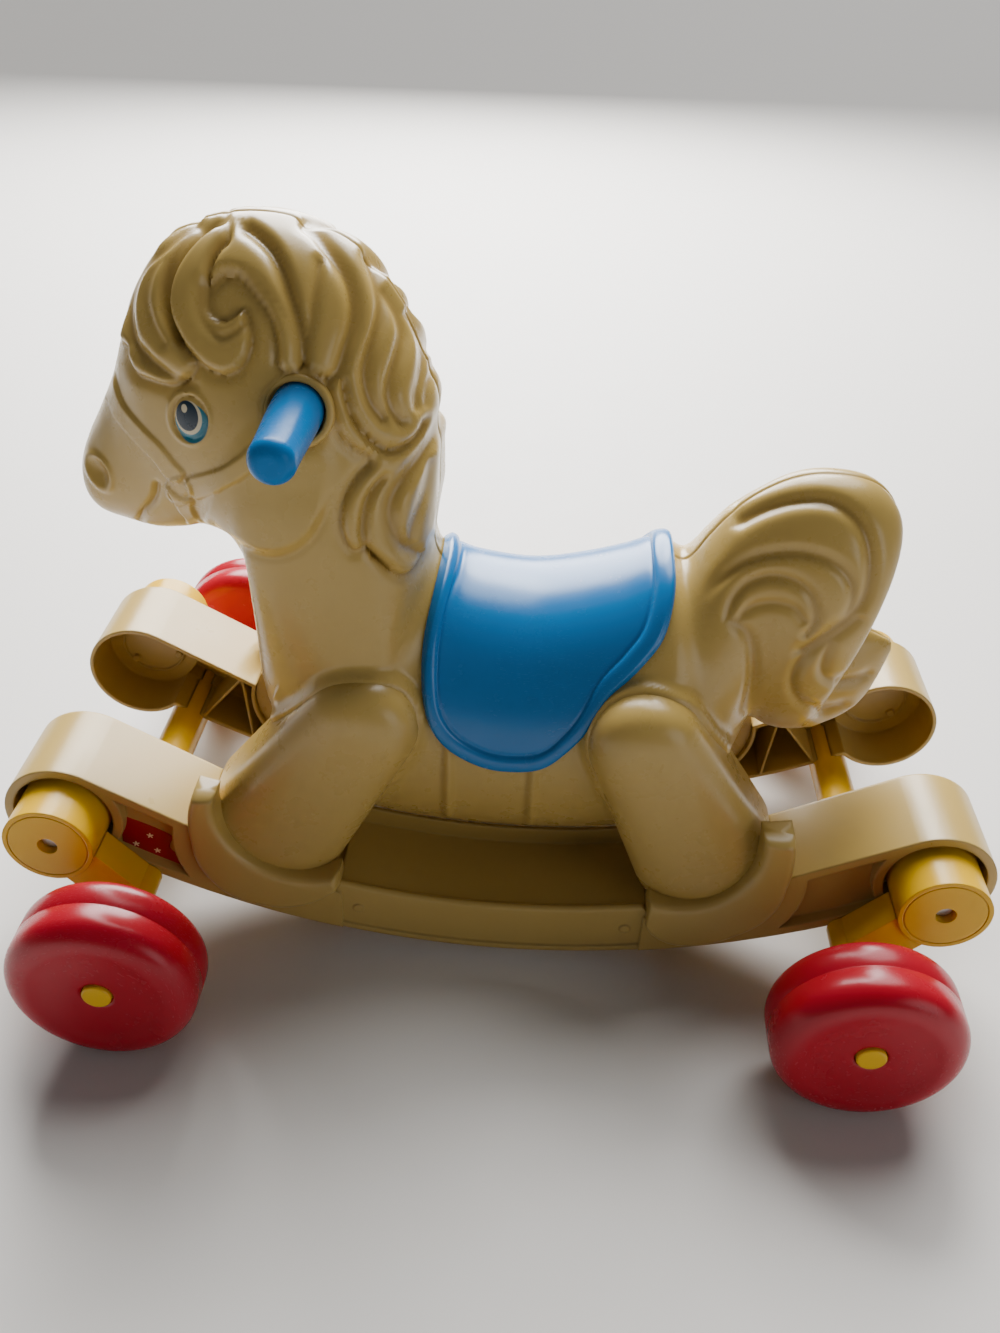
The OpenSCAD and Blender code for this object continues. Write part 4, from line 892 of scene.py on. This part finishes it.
def cream_finish(name, colours, body=False):
    """Ivory moulded plastic. On the body, creases are darkened with painted shade, and the eyes are ovals
    painted at their places on the head board."""
    finish = Finish(name)
    cream = tuple(colours.cream)
    if not body:
        finish.plastic(cream, 0.24, 700.0, bevel=2.6 * MM)
        return finish.material

    def painted(base):
        # Painted shade: the crease attribute darkens the cream in creases, grooves and hollows, and draws a
        # dark line along the seam
        crease = finish.node("ShaderNodeAttribute", {"attribute_name": "crease"}, output="Fac")
        crease_shade_colour = [share * c for share, c in zip(CREASE_SHADE_SHARES, cream)]
        base = finish.mix(crease * 0.55, base, crease_shade_colour)
        board = finish.node("ShaderNodeAttribute", {"attribute_name": "board"}, output="Vector")
        x, y, _ = finish.split(board)
        c, s = math.cos(math.radians(EYE_TURN)), math.sin(math.radians(EYE_TURN))
        paints = (tuple(colours.iris), EYE_WHITE, tuple(colours.pupil), EYE_WHITE)
        for (cx, cy, rx, ry), paint in zip(EYE_OVALS, paints):
            a = (x - cx) * c + (y - cy) * s
            b = (y - cy) * c - (x - cx) * s
            inside = finish.step(finish.length(a / rx, b / ry), 1.0 + 1.2 / rx, 1.0 - 1.2 / rx)
            base = finish.mix(inside, base, paint)
        return base

    finish.plastic(cream, 0.22, 700.0, paint=painted)
    return finish.material


def set_finish(names, material):
    """Gives CAD nodes a finish."""
    for name in names:
        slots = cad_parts[name].data.materials
        slots.clear()
        slots.append(material)


def placed(right, up, back, at):
    """Matrix from three directions and a place."""
    rows = np.stack([right, up, back, at], -1).tolist()
    return Matrix([*rows, [0, 0, 0, 1]])


# Operators

class HORSE_OT_body(Operator):
    """Both halves of the moulded body with its head, mane, legs and tail"""

    bl_idname = "horse.body"
    bl_label = "Body halves"

    def execute(self, context):
        sizes, colours = context.scene.horse_sizes, context.scene.horse_colours
        grid, board, crease = trunk_grid(sizes)
        legs = [leg_grid(*leg) for leg in LEGS]
        material = cream_finish("cream_body", colours, body=True)
        for side, sign in SIDES:
            node = "body_" + side
            shells = [Shell(on_side(grid, sign), extra={"board": board, "crease": crease})]
            shells += [Shell(on_side(leg, sign), ends="line") for leg in legs]
            piece = make_piece("horse_" + side, shells, material, sharp=65.0)
            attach(piece, "chassis")
            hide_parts(node)
        return {"FINISHED"}


class HORSE_OT_saddle(Operator):
    """Saddle sheet with a rolled bead round its edge"""

    bl_idname = "horse.saddle"
    bl_label = "Saddle"

    def execute(self, context):
        sizes, colours = context.scene.horse_sizes, context.scene.horse_colours
        finish = Finish("blue_saddle")
        finish.plastic(tuple(colours.blue), 0.20, 600.0)
        edge = along(SADDLE_EDGE, np.linspace(0, len(SADDLE_EDGE) - 1, EDGE_STEPS))
        edge[:, 1] = np.minimum(edge[:, 1], 1.0)
        loop = np.concatenate([edge, edge[-2:0:-1]])
        side = np.concatenate([np.ones(EDGE_STEPS), -np.ones(EDGE_STEPS - 2)])
        r = np.concatenate([np.linspace(0.03, 0.80, 26), np.linspace(0.805, 1.0, 40)])
        s = SADDLE_MIDDLE + (loop[:, 0] - SADDLE_MIDDLE) * r[:, None]
        t = 1 - (1 - loop[:, 1]) * r[:, None]
        steps = length_of(np.diff(saddle_skin(s, t, side, 0.0), axis=0))
        gone = np.concatenate([np.cumsum(steps[::-1], axis=0)[::-1], np.zeros((1, len(loop)))])
        half = BEAD_WIDTH / 2
        bead = np.sqrt(np.clip(1 - ((gone - half) / half) ** 2, 0, 1))
        lift = sizes.saddle_thickness / MM * ease(gone, -0.5, 2.5) ** 0.5
        lift = lift + sizes.saddle_bead / MM * bead - 0.5 * bell(gone - BEAD_WIDTH - 1.2, 1.2)
        top = saddle_skin(s, t, side, SADDLE_GAP + lift)
        low = saddle_skin(s, t, side, SADDLE_GAP)
        shell = Shell(np.concatenate([top, low[::-1]]))
        piece = make_piece("saddle_sheet", [shell], finish.material, sharp=70.0)
        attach(piece, "chassis")
        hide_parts("saddle")
        return {"FINISHED"}


class HORSE_OT_bar(Operator):
    """Handlebar with rounded ends"""

    bl_idname = "horse.bar"
    bl_label = "Handlebar"

    def execute(self, context):
        finish = Finish("blue_bar")
        finish.plastic(tuple(context.scene.horse_colours.blue), 0.20, 600.0, shine=0.15)
        end = BAR_HALF - BAR_ROUND
        inner = BAR_R - BAR_ROUND
        first = arc((inner, -end), BAR_ROUND, -90, 0, 14)
        second = arc((inner, end), BAR_ROUND, 0, 90, 14)
        y = np.linspace(-end, end, 62)[1:-1]
        radius = BAR_ROOT_R + (BAR_R - BAR_ROOT_R) * ease(np.abs(y), -BAR_AT[1], end)
        straight = np.stack([radius, y], -1)
        disc = np.array([[0.3, -BAR_HALF], [2.0, -BAR_HALF], [3.6, -BAR_HALF]])
        profile = np.concatenate([disc, first, straight, second, disc[::-1] * np.array([1, -1])])
        grid = lathe(profile, 96) + np.array([BAR_AT[0], 0, BAR_AT[2]])
        piece = make_piece("handle_bar", [Shell(grid)], finish.material)
        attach(piece, "chassis")
        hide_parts("handlebar")
        return {"FINISHED"}


class HORSE_OT_mouths(Operator):
    """Rings round the holes where the handlebar leaves the head"""

    bl_idname = "horse.mouths"
    bl_label = "Handlebar rings"

    def execute(self, context):
        material = cream_finish("cream_ring", context.scene.horse_colours)
        out = np.array([0, -math.cos(BAR_LEAN), math.sin(BAR_LEAN)])
        grid = BAR_AT + lathe(BAR_RING, 120) @ np.stack([(1, 0, 0), out, np.cross((1, 0, 0), out)])
        for side, sign in SIDES:
            piece = make_piece("bar_ring_" + side, [Shell(on_side(grid, sign), ends="ring")], material)
            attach(piece, "chassis")
        return {"FINISHED"}


class HORSE_OT_hooves(Operator):
    """Hooves of the rails, which cup the ends of the legs"""

    bl_idname = "horse.hooves"
    bl_label = "Hooves"

    def execute(self, context):
        material = cream_finish("cream_hoof", context.scene.horse_colours)
        for (end, _), leg, lines in zip(ENDS, LEGS, HOOVES):
            grid = hoof_grid(*leg, *lines)
            for side, sign in SIDES:
                piece = make_piece("hoof_" + end + "_" + side, [Shell(on_side(grid, sign))], material)
                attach(piece, "chassis")
        return {"FINISHED"}


class HORSE_OT_labels(Operator):
    """Thin red labels with three small stars on the front panels of the rails"""

    bl_idname = "horse.labels"
    bl_label = "Labels"

    def execute(self, context):
        finish = Finish("star_label")
        stars = on_plane(STARS, -PANEL_Y)[:, [0, 2]] * MM

        def painted(base):
            x, _, z = finish.split(finish.place())
            for sx, sz in stars.tolist():
                a, b = x - sx, z - sz
                turn = finish.operate("ARCTAN2", a, b)
                wave = finish.operate("COSINE", turn * STAR_POINTS)
                edge = wave * STAR_WAVE + STAR_R
                inside = finish.step(finish.length(a, b) / edge, 1.06, 0.94)
                base = finish.mix(inside, base, STAR_CREAM)
            return base

        finish.plastic(LABEL_RED, 0.34, 900.0, paint=painted)
        loop = traced(on_plane(LABEL, -PANEL_Y)[:, [0, 2]], closed=True)[:-1]
        middle = loop.mean(0)
        over, under = 12, 6
        r = np.concatenate([np.linspace(0.05, 0.99, over), [1.0, 1.0], np.linspace(0.98, 0.05, under)])
        edge = [0.8 * LABEL_THICK, 0.0]
        y = np.concatenate([np.full(over, LABEL_THICK), edge, np.full(under, -LABEL_SUNK)])
        flat = middle + r[:, None, None] * (loop - middle)
        grid = np.stack([flat[..., 0], -PANEL_Y - y[:, None] * np.ones(len(loop)), flat[..., 1]], -1)
        for side, sign in SIDES:
            piece = make_piece("label_" + side, [Shell(on_side(grid, sign))], finish.material)
            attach(piece, "chassis")
        return {"FINISHED"}


class HORSE_OT_wheels(Operator):
    """Four blown wheels with big shoulders, a parting line and a dished face"""

    bl_idname = "horse.wheels"
    bl_label = "Wheels"

    def execute(self, context):
        finish = Finish("red_wheel")
        finish.plastic(tuple(context.scene.horse_colours.red), 0.20, 500.0, shine=0.3)
        r, w, k = AXLE_Z, WHEEL_WIDTH, WHEEL_SHOULDER
        half, cut = w / 2, WHEEL_PARTING
        parting = np.array([r, half]) + cut * np.array([[0, -2], [-1, -0.5], [-1, 0.5], [0, 2]])
        dish = np.array([0, w]) + WHEEL_DISH * np.array([1, -1])
        profile = np.concatenate([
            [[WHEEL_BORE, 0], [20, 0], [WHEEL_FLAT, 0]], arc((r - k, k), k, -90, 0, 18)[:-1], [[r, k + 0.2]],
            parting, arc((r - k, w - k), k, 0, 90, 18), dish, [[WHEEL_BORE, half]]])
        grid = lathe(profile, 160) + np.array([0, WHEEL_FACE - w, 0])
        for end, end_sign in ENDS:
            for side, side_sign in SIDES:
                at = np.array([end_sign * AXLE_X, 0, AXLE_Z])
                shell = Shell(on_side(grid, -side_sign) + at, ends="ring")
                piece = make_piece("wheel_" + end + "_" + side + "_tyre", [shell], finish.material)
                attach(piece, end + "_" + side + "_wheel")
                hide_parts("wheel_" + end + "_" + side)
        return {"FINISHED"}


class HORSE_OT_frame(Operator):
    """Finishes of the rails, swing frames, axles and screws that stay as the frame has them"""

    bl_idname = "horse.frame_parts"
    bl_label = "Rails and swing frames"

    def execute(self, context):
        colours = context.scene.horse_colours
        set_finish(("rail_left", "rail_right"), cream_finish("cream_rail", colours))
        yellow = Finish("yellow_plastic")
        yellow.plastic(tuple(colours.yellow), 0.24, 650.0, bevel=1.2 * MM, shine=0.3)
        ends = [end + "_" + side for end, _ in ENDS for side, _ in SIDES]
        set_finish(["axle_" + name for name in ends], yellow.material)
        set_finish([name.replace("_", "_arm_") for name in ends], yellow.material)
        set_finish(("front_cross_tube", "rear_cross_tube"), yellow.material)
        steel = Finish("zinc_screw")
        steel.plastic(STEEL, 0.30, 900.0, bevel=0.4 * MM)
        steel.surface({"Metallic": 1.0})
        set_finish(("hub_screws", "rail_screws", "body_screws"), steel.material)
        return {"FINISHED"}


class HORSE_OT_stage(Operator):
    """Pale floor, soft lights and the camera"""

    bl_idname = "horse.stage"
    bl_label = "Stage"

    def execute(self, context):
        stage = context.scene.horse_stage
        scene = context.scene
        finish = Finish("pale_floor")
        tone = finish.mix(finish.noise(3.0, 3.0) * 0.2, tuple(stage.floor), [0.93 * c for c in stage.floor])
        finish.surface({"Base Color": tone, "Roughness": finish.noise(20.0, 2.0) * 0.1 + 0.5})
        mesh = bpy.data.meshes.new("floor")
        corners = [(x * FLOOR_REACH, y * FLOOR_REACH, 0) for x, y in ((-1, -1), (1, -1), (1, 1), (-1, 1))]
        mesh.from_pydata(corners, [], [(0, 1, 2, 3)])
        mesh.materials.append(finish.material)
        floor = bpy.data.objects.new("floor", mesh)
        scene.collection.objects.link(floor)
        for name, kind, size, at, aim_height in LIGHTS:
            lamp = bpy.data.lights.new(name, kind)
            lamp.energy = getattr(stage, name)
            if kind == "SUN":
                lamp.angle = size
            else:
                lamp.shape = "DISK"
                lamp.size = size
            light = bpy.data.objects.new(name, lamp)
            back = unit(np.array(at) - np.array([0, 0, aim_height]))
            right = unit(np.cross((0, 0, 1), back))
            light.matrix_world = placed(right, np.cross(back, right), back, at)
            scene.collection.objects.link(light)
        world = bpy.data.worlds.new("soft_room")
        world.use_nodes = True
        glow = world.node_tree.nodes["Background"].inputs
        glow["Color"].default_value = WORLD_COLOUR
        glow["Strength"].default_value = WORLD_STRENGTH
        scene.world = world
        eye = bpy.data.cameras.new("photo_view")
        eye.sensor_fit = "VERTICAL"
        eye.sensor_height = SENSOR
        eye.lens = VIEW_FOCUS / VIEW_SIZE[1] * SENSOR
        eye.clip_start = 0.01
        camera = bpy.data.objects.new("photo_view", eye)
        camera.matrix_world = placed(VIEW_RIGHT, VIEW_UP, -VIEW_AHEAD, VIEW_AT * MM)
        scene.collection.objects.link(camera)
        scene.camera = camera
        return {"FINISHED"}


class HORSE_PT_panel(Panel):
    """Sizes, colours and pieces of the horse"""

    bl_idname = "HORSE_PT_panel"
    bl_label = "Ride-on horse"
    bl_space_type = "VIEW_3D"
    bl_region_type = "UI"
    bl_category = "Horse"

    def draw(self, context):
        for group in (context.scene.horse_sizes, context.scene.horse_colours, context.scene.horse_stage):
            box = self.layout.box()
            for key in group.__annotations__:
                box.prop(group, key)
        for operator in OPERATORS:
            self.layout.operator(operator.bl_idname)


GROUPS = {"horse_sizes": HorseSizes, "horse_colours": HorseColours, "horse_stage": HorseStage}
OPERATORS = (
    HORSE_OT_body, HORSE_OT_saddle, HORSE_OT_bar, HORSE_OT_mouths, HORSE_OT_hooves, HORSE_OT_labels,
    HORSE_OT_wheels, HORSE_OT_frame, HORSE_OT_stage,
)


def register():
    for cls in (*GROUPS.values(), *OPERATORS, HORSE_PT_panel):
        bpy.utils.register_class(cls)
    for name, group in GROUPS.items():
        setattr(bpy.types.Scene, name, PointerProperty(type=group))


def unregister():
    for name in GROUPS:
        delattr(bpy.types.Scene, name)
    for cls in (HORSE_PT_panel, *OPERATORS, *GROUPS.values()):
        bpy.utils.unregister_class(cls)


def main():
    register()
    bpy.ops.horse.body()
    bpy.ops.horse.saddle()
    bpy.ops.horse.bar()
    bpy.ops.horse.mouths()
    bpy.ops.horse.hooves()
    bpy.ops.horse.labels()
    bpy.ops.horse.wheels()
    bpy.ops.horse.frame_parts()
    bpy.ops.horse.stage()


if __name__ == "__main__":
    main()
